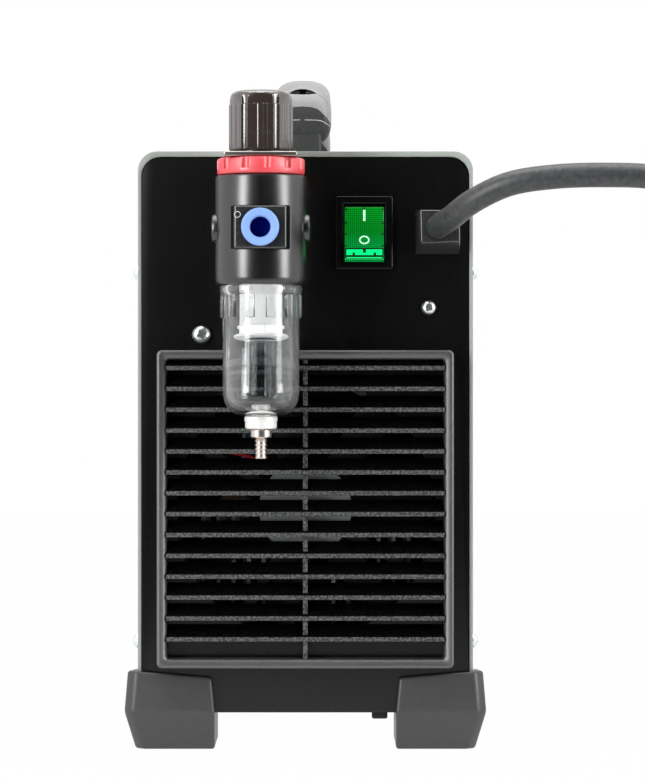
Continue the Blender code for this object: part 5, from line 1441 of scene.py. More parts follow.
@dataclass
class PowerSwitch(OnFrame):
    """Lit rocker switch in its bezel, pressed in at the top.

    Attributes:
        x: Middle of the switch across the panel.
        z: Middle of the switch in height.
        lens_width: Width of the rocker.
        window: Height of the bezel's opening.
        tilt: Rest angle of the rocker, in degrees.
        dip: How far the rocker's middle stands before its pivot.
        lip: How far its ends stand before the pivot.
        reach: Half height of the rocker's front.
        sink: How far the rocker's middle is below the switch's.
        grid: Distance between the lines of the lens's grid.
        bite_rows: Heights of the dark bites in the lens's sides.
        teeth: Ends of the bright band's teeth across the lens.
        mark_z: Height of the O below the rocker's middle.
    """

    x: float = 0.0258
    z: float = 0.2264
    lens_width: float = 0.0172
    window: float = 0.0254
    tilt: float = 8.0
    dip: float = 0.0015
    lip: float = 0.00316
    reach: float = 0.01155
    sink: float = 0.0007
    grid: float = 0.00086
    bite_rows: tuple[float, ...] = (0.0105, 0.0046, -0.0001, -0.0055)
    teeth: tuple[Point2, ...] = (
        (-0.0078, -0.0052), (-0.0040, -0.0007), (0.0007, 0.0040), (0.0052, 0.0078),
    )
    mark_z: float = -0.0029

    def build(self) -> None:
        """Makes the bezel, the rocker and its marks."""
        self._bezel()
        self._rocker()
        self._foot_band()
        self._marks()

    def _on_rocker(self, shape: Shape, name: str, finish: AnyFinish, *nodes: str) -> None:
        """Puts a shape that is modelled about the rocker's pivot in its place.

        Args:
            shape: The shape.
            name: Name of the piece.
            finish: Its finish.
            nodes: The nodes that it stands for.
        """
        pivot = Vector((self.x, self.layout.rear - 0.0010, self.z - self.sink))
        shape.moved(Matrix.Translation(pivot) @ spun(-self.tilt, "X"))
        shape.finished(name, finish, Body.POWER_ROCKER, nodes)

    def _front(self, v: float) -> float:
        """How far the rocker's front stands before the pivot at a height."""
        return self.dip + (self.lip - self.dip) * min(1.0, abs(v) / self.reach)

    def _bezel(self) -> None:
        """The frame round the rocker, and its box behind the panel."""
        low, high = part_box("switch_bezel")
        width, height = high[0] - low[0], high[2] - low[2]
        middle = (self.x, self.z)
        inner_width, inner_height = width - 0.003, height - 0.004
        outline = round_rect(width, height, 0.0011, 5, middle)
        window = round_rect(self.lens_width + 0.001, self.window, 0.0005, 3, middle)
        rim = Shape.prism(outline, GAP, 0.0025, [window]).bevel(0.0006, 3, 50.0)
        inner = round_rect(inner_width, inner_height, 0.0006, 3, middle)
        body = Shape.prism(inner, -0.022, GAP, [window])
        for part in (rim, body):
            part.moved(self.layout.on_rear())
        at = (self.x, self.layout.rear + 0.010, self.z)
        rim.with_copies([body, Shape.box((inner_width, 0.002, inner_height), at)])
        rim.finished("switch_frame", SMOOTH_BLACK, stands_for=["switch_bezel"])

    def _rocker(self) -> None:
        """The lit rocker: a shallow V in front and an arc behind."""
        radius = math.hypot(self.lip, self.reach)
        profile = [(-self.lip, self.reach), (-self.dip, 0.0), (-self.lip, -self.reach)]
        profile += arc(radius, 262.0, 295.0, 6) + arc(radius, 65.0, 98.0, 6)
        half = self.lens_width / 2.0
        body = Shape.prism(profile, -half, half).bevel(0.0004, 3, 40.0)
        finish = LensFinish("lens_grid", "lit_green", self.grid, self.z - self.sink, self.reach)
        self._on_rocker(body.moved(Facing.RIGHT.matrix()), "rocker_lens", finish, "switch_rocker")

    def _patch(self, x0: float, x1: float, v0: float, v1: float, lift: float) -> Shape:
        """Makes a thin plate that lies on the rocker's front.

        Args:
            x0: Its left side.
            x1: Its right side.
            v0: One end of its height.
            v1: The other end.
            lift: How far it stands proud.

        Returns:
            The shape.
        """
        corners = ((x0, v0), (x1, v0), (x1, v1), (x0, v1))
        faces = (0.0006, -lift)
        return Shape.loft([[(x, d - self._front(v), v) for x, v in corners] for d in faces])

    def _foot_band(self) -> None:
        """The clear foot of the lens: dark strips and a bright band with a notch."""
        half, foot = self.lens_width / 2.0, -self.reach
        dark = self._patch(-half + 0.0002, half - 0.0002, foot + 0.0003, foot + 0.0051, 0.00006)
        bites = [self._patch(-0.0004, 0.0004, -foot - 0.0010, -foot - 0.0002, 0.00008)]
        for v in self.bite_rows:
            for side, _ in SIDES:
                inner, outer = sorted((side * (half - 0.0010), side * (half - 0.0002)))
                bites.append(self._patch(inner, outer, v - 0.0005, v + 0.0005, 0.00008))
        self._on_rocker(dark.with_copies(bites), "lens_foot", LENS_DARK)
        top, low = foot + 0.0043, foot + 0.0018
        spans = [(a, b, low, top) for a, b in self.teeth]
        spans += [(a, b, low + 0.0012, top) for a, b in ((-0.0052, -0.0040), (0.0040, 0.0052))]
        spans += [(-0.0007, 0.0007, low, low + 0.0010)]
        spans += [(-0.0078, 0.0078, foot + 0.0004, foot + 0.0008)]
        band = Shape.group(self._patch(*span, 0.00014) for span in spans)
        self._on_rocker(band, "lens_band", LENS_BRIGHT)

    def _marks(self) -> None:
        """The I and the O."""
        line = self._patch(-0.00050, 0.00050, 0.0055, 0.0103, 0.00016)
        outer = [(x * 1.16, z) for x, z in circle(0.00195, 40)]
        inner = [(x * 1.21, z) for x, z in circle(0.00138, 40)]
        ring = Shape.prism(outer, -0.0003, 0.00018, [inner])
        lean = Matrix.Rotation(-math.atan2(self.lip - self.dip, self.reach), 4, "X")
        at = Matrix.Translation((0.0, -self._front(self.mark_z), self.mark_z))
        ring.moved(at @ lean @ Facing.REAR.matrix())
        self._on_rocker(line.with_copies([ring]), "rocker_marks", MARK_MINT)


# -------- cord


@dataclass
class CordEntry(OnFrame):
    """Square moulded entry that narrows towards the cord.

    Attributes:
        x: Middle of the entry across the panel.
        z: Height of the hole behind it.
        cord_z: Height at which the cord leaves.
    """

    x: float = 0.0579
    z: float = 0.2264
    cord_z: float = 0.2284

    def build(self) -> None:
        """Makes the entry block and the bush round the cord."""
        low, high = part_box("cord_gland")
        rear = self.layout.rear - GAP
        x0, x1, z0, z1 = low[0], high[0], low[2], high[2]
        base = [(x0, rear, z0), (x1, rear, z0), (x1, rear, z1), (x0, rear, z1)]
        mouth = [
            (x0 + 0.0022, low[1], z0 + 0.0044), (x1 - 0.0003, low[1], z0 + 0.0052),
            (x1 - 0.0006, low[1], z1 - 0.0005), (x0 + 0.0018, low[1], z1 - 0.0004),
        ]
        neck = Shape.turned(barrel(0.0066, 0.012), 40)
        neck.moved(Facing.REAR.matrix((self.x, rear + 0.012, self.z)))
        block = Shape.loft([base, mouth]).bevel(0.0006, 3, 20.0).with_copies([neck])
        block.finished("entry_block", ENTRY_BLACK, stands_for=["cord_gland"])
        bore, rim = 0.0053, 0.0063
        bush = [(bore, 0.0006), (0.0060, 0.0005), (rim, 0.0), (rim, -0.001), (bore, -0.001)]
        ring = Shape.turned(bush, 48).moved(Facing.REAR.matrix((self.x, low[1], self.cord_z)))
        ring.finished("entry_bush", SATIN_BLACK)


@dataclass
class MainsCord(OnFrame):
    """The mains cord: its free stretch, its coil out of view and its plug.

    Attributes:
        radius: Radius of the cord.
        turns_each_way: Turns of each layer of the coil.
        pitch: Distance between turns.
        layer_gap: Gap between the coil's two layers.
        outer: Radius of the outer turn.
        plug_radius: Radius of the plug's head.
        grip_end: Where the plug's grip ends, from the cord's end.
        head_end: Where the plug's head ends.
        grip_ribs: Ribs of the plug's grip.
        entry_x: Middle of the cord entry across the panel.
        entry_z: Height at which the cord leaves.
        route: The free stretch's points: across from the entry, out from the rear panel,
            height.
    """

    radius: float = 0.00525
    turns_each_way: float = 2.0
    pitch: float = 0.0115
    layer_gap: float = 0.0012
    outer: float = 0.066
    plug_radius: float = 0.019
    grip_end: float = 0.0323
    head_end: float = 0.0663
    grip_ribs: int = 7
    entry_x: float = 0.0579
    entry_z: float = 0.2284
    route: tuple[Point3, ...] = (
        (0.0000, -0.0139, 0.2284), (0.0000, -0.0244, 0.2284), (0.0046, -0.0365, 0.2312),
        (0.0141, -0.0470, 0.2382), (0.0291, -0.0540, 0.2450), (0.0481, -0.0580, 0.2478),
        (0.0691, -0.0600, 0.2484), (0.0901, -0.0600, 0.2474), (0.1101, -0.0590, 0.2420),
        (0.1281, -0.0570, 0.2300), (0.1411, -0.0550, 0.2100), (0.1491, -0.0520, 0.1800),
        (0.1531, -0.0490, 0.1450), (0.1571, -0.0460, 0.1100), (0.1631, -0.0430, 0.0760),
        (0.1731, -0.0400, 0.0460), (0.1881, -0.0375, 0.0230), (0.2081, -0.0360, 0.0095),
        (0.2281, -0.0360, 0.0056), (0.2386, -0.0360, 0.0056),
    )

    def build(self) -> None:
        free = smooth_path([self._place(point) for point in self.route], 0.004)
        path = free[:-1] + self._coil(free[-1] + Vector((GAP, 0.0, 0.0)))
        tube = Shape.sweep(path, self.radius, 28).finished(
            "mains_cord_tube", CORD_SHEATH, stands_for=["mains_cord", "mains_coil"]
        )
        pieces = self._plug(path[-1])

    def _place(self, point: Point3) -> Vector:
        """Puts a point of the route in the frame, between the entry and the floor.

        Args:
            point: The point, as route gives it.

        Returns:
            Its place.
        """
        across, out, height = point
        first, last = self.route[0][2], self.route[-1][2]
        low = self.radius + GAP
        z = low + (height - last) / (first - last) * (self.entry_z - low)
        return Vector((self.entry_x + across, self.layout.rear + out, z))

    def _coil(self, start: Vector) -> list[Vector]:
        """Winds two flat layers: in on the floor, a climb, and out again on top.

        Args:
            start: Where the free stretch ends.

        Returns:
            The coil's centreline.
        """
        lift = 2.0 * self.radius + self.layer_gap
        plug_lift = self.plug_radius + GAP - start.z - lift
        turns = 2.0 * self.turns_each_way + 0.5
        centre = start + Vector((2.0 * self.radius, self.outer, 0.0))
        points = [start.copy()]
        count = round(turns * 72)
        for i in range(count + 1):
            turn = turns * i / count
            into = min(turn, self.turns_each_way)
            out = max(turn - self.turns_each_way - 0.5, 0.0)
            climb = min(max((turn - self.turns_each_way) / 0.5, 0.0), 1.0)
            radius = self.outer - self.pitch * (into - out)
            radius -= self.pitch * 0.5 * climb * (1.0 - climb)
            last = min(max((turn - turns + 0.25) / 0.25, 0.0), 1.0)
            rise = lift * eased(climb) + plug_lift * eased(last)
            angle = 2.0 * math.pi * turn - math.pi / 2.0
            spoke = Vector((radius * math.cos(angle), radius * math.sin(angle), rise))
            points.append(centre + spoke)
        points.append(points[-1] + Vector((-2.0 * self.radius, 0.0, 0.0)))
        return points

    def _plug(self, end: Vector) -> list[bpy.types.Object]:
        """Makes the round earthed plug, the ribs of its grip and its pins.

        Args:
            end: Where the cord ends.

        Returns:
            The plug's pieces.
        """
        rim, back, head = self.plug_radius, self.grip_end, self.head_end
        profile = [
            (0.0, head), (0.0160, head), (0.0176, head - 0.0008), (0.0187, head - 0.0024),
            (rim, head - 0.0045), (rim, head - 0.0135), (0.0182, head - 0.0165),
            (0.0165, head - 0.0205), (0.0128, back + 0.0035), (0.0100, back + 0.0010),
            (0.0085, back),
        ]
        for i in range(self.grip_ribs):
            far = back - 0.0012 - (back - 0.004) * i / self.grip_ribs
            wide = 0.0084 - 0.0018 * i / self.grip_ribs
            profile += [(wide, far), (wide, far - 0.0020)]
            profile += [(wide - 0.0009, far - 0.0024), (wide - 0.0009, far - 0.0034)]
        profile += [(self.radius + 0.0006, 0.0004), (0.0, 0.0004)]
        axis = rim + GAP
        body = Shape.turned(profile, 64).moved(Facing.LEFT.matrix((end.x, end.y, axis)))
        pieces = [body.finished("mains_plug_body", SATIN_BLACK, stands_for=["mains_plug"])]
        pin = [(0.0, 0.019), (0.0016, 0.019), (0.0024, 0.0178), (0.0024, 0.0), (0.0, 0.0)]
        for label, side in (("near", -1), ("far", 1)):
            at = (end.x - head - GAP, end.y + side * 0.0095, axis)
            node = f"plug_pin_{label}"
            made = Shape.turned(pin, 32).moved(Facing.LEFT.matrix(at))
            pieces.append(made.finished(node + "_turned", NICKEL, stands_for=[node]))
        return pieces


# -------- filter-regulator


@dataclass
class FilterRegulator(OnFrame):
    """Air filter-regulator: knob, ring, body, ports, bowl and drain.

    Attributes:
        x: Axis across the panel.
        offset: Axis before the rear panel.
        body_radius: Radius of the body.
        port_z: Height of the ports.
        grips: Grips round the knob.
        grip_height: Height of the grips.
        grip_half: Half the angle of a grip's flat face, in degrees.
        groove_at: Angle of a grip's grooves from its middle, in degrees.
        groove_depth: Depth of the grooves.
        groove_half: Half the angle of a groove, in degrees.
        channel_depth: Depth of the channels between the grips.
        channel_half: Half the angle of a channel, in degrees.
        flatness: How flat the grips' faces are, from 0 for round to 1.
        knob_wall: Wall of the knob.
        ring_bore: Bore of the lock ring.
        notches: Notches round the lock ring.
        notch_start: Angle of the first notch, in degrees.
        bracket_sheet: Thickness of the bracket.
        socket_radius: Radius of the side ports.
        inlet_bore: Bore of the inlet block.
        bowl_radius: Radius of the clear bowl.
        bowl_wall: Wall of the bowl.
        bowl_stem: Radius of the hole in the bowl's foot.
        bowl_ribs: Ribs round the bowl's neck.
        element: Radius of the filter element.
        element_slots: Slots round the element.
        vanes: Vanes on the separator's foot.
        barbs: Barbs of the drain.
    """

    x: float = -0.019
    offset: float = 0.031
    body_radius: float = 0.0196
    port_z: float = 0.2268
    grips: int = 6
    grip_height: float = 0.0200
    grip_half: float = 23.6
    groove_at: float = 9.1
    groove_depth: float = 0.00022
    groove_half: float = 4.4
    channel_depth: float = 0.0007
    channel_half: float = 6.4
    flatness: float = 0.72
    knob_wall: float = 0.0028
    ring_bore: float = 0.0148
    notches: int = 12
    notch_start: float = -80.5
    bracket_sheet: float = 0.0021
    socket_radius: float = 0.0068
    inlet_bore: float = 0.0071
    bowl_radius: float = 0.0165
    bowl_wall: float = 0.0019
    bowl_stem: float = 0.0046
    bowl_ribs: int = 12
    element: float = 0.0094
    element_slots: int = 20
    vanes: int = 8
    barbs: int = 5

    def build(self) -> None:
        """Makes the whole regulator."""
        self._knob()
        self._ring()
        self._bracket()
        self._body()
        self._port_mark()
        self._port_plugs()
        self._inlet()
        self._collar()
        self._bowl()
        self._separator()
        self._drain_nut()
        self._drain_barb()
        dress("regulator_bonnet", REGULATOR_BLACK, 0.0003)
        dress("regulator_spindle", NICKEL, 0.0002)
        dress("outlet_nipple", BRASS, 0.0002)

    def _at(self, z: float = 0.0) -> Matrix:
        """The matrix to the regulator's axis at a height."""
        return Matrix.Translation((self.x, self.layout.rear - self.offset, z))

    def _facing_rear(self, y: float) -> Matrix:
        """The matrix to the inlet's axis at this Y, with +Z out of the panel."""
        return Facing.REAR.matrix((self.x, y, self.port_z))

    def _knob(self) -> None:
        """The brown knob: six grips, a narrower crown and a hollow below."""
        low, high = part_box("regulator_knob")
        radius, height = (high[0] - low[0]) / 2.0, high[2] - low[2]
        grip = self.grip_height
        rows = (
            (0.0, -0.0008, 1.0, 1.0), (0.0004, -0.0003, 1.0, 1.0), (0.0014, 0.0, 1.0, 1.0),
            (grip - 0.0012, 0.0, 1.0, 1.0), (grip - 0.0003, 0.0, 1.0, 1.0),
            (grip, -0.0001, 0.9, 1.0), (grip + 0.00015, -0.0004, 0.0, 1.0),
            (grip + 0.0006, -0.0004, 0.0, 1.0), (grip + 0.0022, -0.0004, 0.0, 0.9),
            (grip + 0.0034, -0.0006, 0.0, 0.45), (height - 0.0017, -0.0009, 0.0, 0.1),
            (height - 0.0009, -0.0017, 0.0, 0.0), (height - 0.0003, -0.0029, 0.0, 0.0),
            (height, -0.0046, 0.0, 0.0),
        )
        rings = [self._knob_ring(radius + grow, z, *cuts) for z, grow, *cuts in rows]
        for inset, z in ((0.0054, height - 0.0001), (0.0062, height - 0.0009)):
            rings.append([(x, y, z) for x, y in circle(radius - inset, len(rings[0]))])
        hollow = Shape.turned(barrel(radius - self.knob_wall, height - 0.0040, -0.001), 72)
        knob = Shape.loft(rings).minus(hollow).moved(self._at(low[2]))
        knob.finished("knob_shell", KNOB_BROWN, Body.PULL_KNOB, ["regulator_knob"], 40.0)

    def _knob_ring(
        self, radius: float, z: float, groove: float, channel: float, count: int = 432
    ) -> list[Point3]:
        """Draws one level of the knob.

        Args:
            radius: Its radius where nothing is cut.
            z: Its height.
            groove: How much of the two grooves in each grip is cut.
            channel: How much of the channels between the grips is cut.
            count: How many points it has.

        Returns:
            The level's points.
        """
        pitch = 360.0 / self.grips
        face = math.cos(math.radians(self.grip_half))
        ring = []
        for i in range(count):
            angle = 360.0 * i / count
            middle = abs((angle + 90.0 + pitch / 2.0) % pitch - pitch / 2.0)
            flat = face / math.cos(math.radians(min(middle, self.grip_half)))
            r = radius * (1.0 - self.flatness * channel * (1.0 - flat))
            r -= groove * self.groove_depth * hollowed(middle - self.groove_at, self.groove_half)
            r -= channel * self.channel_depth * hollowed(pitch / 2.0 - middle, self.channel_half)
            turn = math.radians(angle)
            ring.append((r * math.cos(turn), r * math.sin(turn), z))
        return ring

    def _ring(self) -> None:
        """The red lock ring with its notches."""
        low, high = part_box("lock_ring")
        radius, height = (high[0] - low[0]) / 2.0, high[2] - low[2]
        profile = [
            (self.ring_bore, height), (radius - 0.0010, height),
            (radius - 0.0003, height - 0.0004), (radius, height - 0.0010), (radius, 0.0009),
            (radius - 0.0005, 0.0), (self.ring_bore, 0.0),
        ]
        reach = radius + 0.0007
        tools = []
        for i in range(self.notches):
            angle = math.radians(self.notch_start + 360.0 / self.notches * i)
            notch = circle(0.0022, 28, (reach * math.cos(angle), reach * math.sin(angle)))
            tools.append(Shape.prism(notch, height - 0.0048, height + 0.002))
        ring = Shape.turned(profile, 120).minus(Shape.group(tools)).bevel(0.00016, 2, 50.0)
        ring.moved(self._at(low[2]))
        ring.finished("lock_ring_moulding", RING_RED_PAINTED_SHEEN, stands_for=["lock_ring"])

    def _bracket(self) -> None:
        """The bent sheet that holds the regulator to the panel."""
        low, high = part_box("regulator_bracket")
        half, sheet, bend = (high[0] - low[0]) / 2.0, self.bracket_sheet, 0.0030
        tongue = Shape.box(
            (2 * half, high[1] - low[1] - 0.001, sheet),
            (self.x, (high[1] + low[1] - 0.001) / 2.0, high[2] - sheet / 2.0),
        ).bevel(0.0006, 3)
        leg = Shape.box(
            (2 * half, sheet, high[2] - low[2] - 0.002),
            (self.x, high[1] - sheet / 2.0, (high[2] + low[2] - 0.002) / 2.0),
        ).bevel(0.0006, 3)
        fold = Shape.turned(barrel(bend, half, -half), 32)
        fold.moved(Facing.RIGHT.matrix((self.x, high[1] - bend, high[2] - bend)))
        tongue.with_copies([leg, fold])
        tongue.finished("bracket_sheet", BRACKET_PAINTED_REFLECTION, stands_for=["regulator_bracket"])

    def _body(self) -> None:
        """The body with its seam, the inlet's pocket and the side ports."""
        low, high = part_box("regulator_body")
        radius = self.body_radius
        profile = [
            (0.0, high[2]), (radius - 0.0011, high[2]), (radius - 0.0003, high[2] - 0.0004),
            (radius, high[2] - 0.0012), (radius, low[2] + 0.0030),
            (radius - 0.0002, low[2] + 0.0012), (radius - 0.0008, low[2] + 0.0002),
            (radius - 0.0012, low[2]), (0.0, low[2]),
        ]
        foot, head = self.port_z + 0.0098, high[2] - 0.0012
        seam_at = (0.0, -radius - 0.0001, (head + foot) / 2.0)
        seam = Shape.box((0.00035, 0.0006, head - foot), seam_at)
        pocket = Shape.box((0.0280, 0.012, 0.0190), (0.0, -0.021, self.port_z)).bevel(0.0006, 3)
        sockets = []
        for side, _ in SIDES:
            socket = Shape.turned(barrel(self.socket_radius, 0.003, -0.0012), 48)
            at = (side * radius, 0.0, self.port_z)
            sockets.append(socket.moved(Facing.side(side).matrix(at)))
        body = Shape.turned(profile, 128).minus(pocket, *sockets).with_copies([seam])
        body.moved(self._at())
        body.finished("body_moulding", REGULATOR_BLACK, stands_for=["regulator_body"])

    def _port_mark(self) -> None:
        """The small ring on the inlet block's face."""
        face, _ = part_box("inlet_block")
        mark = Shape.prism(circle(0.0014, 24), 0.0, 0.00015, [circle(0.00110, 24)])
        at = (self.x - 0.0097, face[1] + 0.00004, self.port_z + 0.0053)
        mark.moved(Facing.REAR.matrix(at)).finished("port_mark", MARK_WHITE)

    def _port_plugs(self) -> None:
        """The blind plugs of the two side ports."""
        rim = 0.00635
        profile = [
            (0.0, 0.0008), (0.0022, 0.0008), (0.0025, 0.0025), (0.0052, 0.0025),
            (0.0060, 0.0021), (rim, 0.0013), (rim, -0.0008), (0.0, -0.0008),
        ]
        y = self.layout.rear - self.offset
        for side, label in SIDES:
            at = (self.x + side * (self.body_radius - 0.0009), y, self.port_z)
            plug = Shape.turned(profile, 56).moved(Facing.side(side).matrix(at))
            node = f"port_plug_{label}"
            plug.finished(node + "_cap", REGULATOR_BLACK, stands_for=[node])

    def _inlet(self) -> None:
        """The square inlet block."""
        low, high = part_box("inlet_block")
        width, height, back = high[0] - low[0], high[2] - low[2], 0.0008
        outline = round_rect(width, height, 0.0009, 4)
        bore = circle(self.inlet_bore, 48)
        block = Shape.prism(outline, 0.0, high[1] - low[1] - back, [bore]).bevel(0.0009, 3, 50.0)
        plate_at = (self.x, high[1] - back / 2.0, self.port_z)
        block.moved(self._facing_rear(high[1] - back))
        block.with_copies([Shape.box((width, back, height), plate_at)])
        block.finished("inlet_moulding", ENTRY_BLACK, stands_for=["inlet_block"])

    def _collar(self) -> None:
        """The blue release collar, and a dark disc of painted shade at the end of its bore."""
        low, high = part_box("inlet_block")
        collar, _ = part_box("release_collar")
        proud, deep = low[1] - collar[1], high[1] - low[1] - 0.0030
        bore, sleeve, rim = 0.0044, 0.0065, 0.0081
        profile = [
            (0.0074, proud), (0.0080, proud - 0.0003), (rim, proud - 0.0009), (rim, 0.0019),
            (sleeve, 0.0019), (sleeve, -deep), (bore, -deep), (bore, proud - 0.0014),
            (0.0049, proud - 0.0005), (0.0056, proud - 0.0002),
        ]
        made = Shape.turned(profile, 72).moved(self._facing_rear(low[1]))
        made.finished("collar_moulding", COLLAR_BLUE, Body.COLLAR, ["release_collar"])
        end = Shape.turned(barrel(0.0068, 0.0004), 40).moved(self._facing_rear(high[1] - 0.0010))
        end.finished("inlet_bore_end", BORE_PAINTED_SHADE)

    def _bowl(self) -> None:
        """The clear bowl with its collar and the ribs round its neck."""
        low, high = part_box("filter_bowl")
        top, bottom = high[2], low[2]
        collar, neck = (high[0] - low[0]) / 2.0, self.bowl_radius + 0.0006
        radius, wall, knee = self.bowl_radius, self.bowl_wall, bottom + 0.0100
        profile = [
            (collar - 0.0004, top), (collar, top - 0.0004), (collar, top - 0.0034),
            (collar - 0.0004, top - 0.0038), (neck, top - 0.0040), (neck, top - 0.0139),
            (radius, top - 0.0147), *self._bowl_end(radius, bottom, knee),
            (self.bowl_stem, bottom), (self.bowl_stem, bottom + wall),
            *reversed(self._bowl_end(radius - wall, bottom + wall, knee)), (radius - wall, top),
        ]
        ribs = []
        for i in range(self.bowl_ribs):
            rib = Shape.box((0.0016, 0.0042, 0.0098), (radius + 0.0004, 0.0, top - 0.0090))
            ribs.append(rib.bevel(0.0004, 2).moved(spun(360.0 / self.bowl_ribs * (i + 0.5))))
        bowl = Shape.turned(profile, 96).with_copies(ribs).moved(self._at())
        bowl.finished("bowl_moulding", CLEAR_BOWL, Body.BOWL, ["filter_bowl"], 45.0)

    def _bowl_end(self, radius: float, bottom: float, knee: float) -> list[Point2]:
        """Draws the rounded foot of the bowl.

        Args:
            radius: Radius of the bowl.
            bottom: Height of the foot.
            knee: Height where the rounding starts.

        Returns:
            The profile from the knee to the flat foot.
        """
        flat = radius * 0.52
        turns = [math.radians(a) for a in range(0, 91, 10)]
        run, drop = radius - flat, knee - bottom
        return [(flat + run * math.cos(a), knee - drop * math.sin(a)) for a in turns]

    def _separator(self) -> None:
        """The white separator: a slotted element, a stem and a vaned foot."""
        low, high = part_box("bowl_separator")
        top, bottom, element = high[2], low[2], self.element
        flange, stem = top - 0.0152, 0.0054
        profile = [
            (0.0, top), (element, top), (element, flange), (0.0104, flange - 0.0006),
            (0.0104, flange - 0.0012), (stem, flange - 0.0016), (stem, bottom + 0.0013),
            (0.0114, bottom + 0.0011), (0.0120, bottom + 0.0006), (0.0117, bottom),
            (0.0, bottom),
        ]
        slots = []
        for i in range(self.element_slots):
            slot = Shape.box((0.0016, 0.0010, 0.0120), (element, 0.0, top - 0.0078))
            slots.append(slot.moved(spun(360.0 / self.element_slots * i)))
        vanes = []
        for i in range(self.vanes):
            vane = Shape.box((0.0046, 0.0007, 0.0040), (0.0072, 0.0, bottom + 0.0030))
            vanes.append(vane.moved(spun(360.0 / self.vanes * i + 10.0)))
        piece = Shape.turned(profile, 72).minus(Shape.group(slots)).with_copies(vanes)
        piece.moved(self._at())
        piece.finished("separator_moulding", WHITE_PLASTIC_PAINTED_GLOW, stands_for=["bowl_separator"])
        dress("bowl_shield", CLEAR_SHIELD)

    def _drain_nut(self) -> None:
        """The pale nut under the bowl."""
        low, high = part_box("drain_nut")
        bowl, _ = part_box("filter_bowl")
        bottom, top, bore, neck = low[2], bowl[2] - GAP, 0.0021, 0.0041
        profile = [
            (bore, high[2]), (neck, high[2]), (neck, top), (0.0066, top),
            (0.0071, top - 0.0005), (0.0071, top - 0.0022), (0.0067, top - 0.0025),
            (0.0068, top - 0.0028), (0.0068, bottom + 0.0006), (0.0062, bottom), (bore, bottom),
        ]
        nut = Shape.turned(profile, 72).moved(self._at())
        nut.finished("drain_nut_turned", NUT_SATIN, Body.BOWL, ["drain_nut"])

    def _drain_barb(self) -> None:
        """The barbed drain below the nut."""
        nut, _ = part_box("drain_nut")
        low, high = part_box("drain_cock")
        stem, collar, bore, barb = 0.0016, 0.0047, 0.0010, 0.0018
        top, bore_end = nut[2] - GAP, low[2] + 0.004
        foot = top - 0.0036
        profile = [
            (0.0, high[2]), (stem, high[2]), (stem, top), (0.0043, top), (collar, top - 0.0004),
            (collar, foot + 0.0005), (0.0042, foot),
        ]
        for i in range(self.barbs):
            z = foot - barb * i
            profile += [(0.0022, z), (0.0024, z - barb * 0.35)]
            profile += [(0.0027, z - barb * 0.70), (0.0026, z - barb * 0.92)]
        profile += [(0.0019, low[2]), (bore, low[2]), (bore, bore_end), (0.0, bore_end)]
        made = Shape.turned(profile, 48).moved(self._at())
        made.finished("drain_barb", NICKEL, Body.DRAIN, ["drain_cock"])


# -------- handle


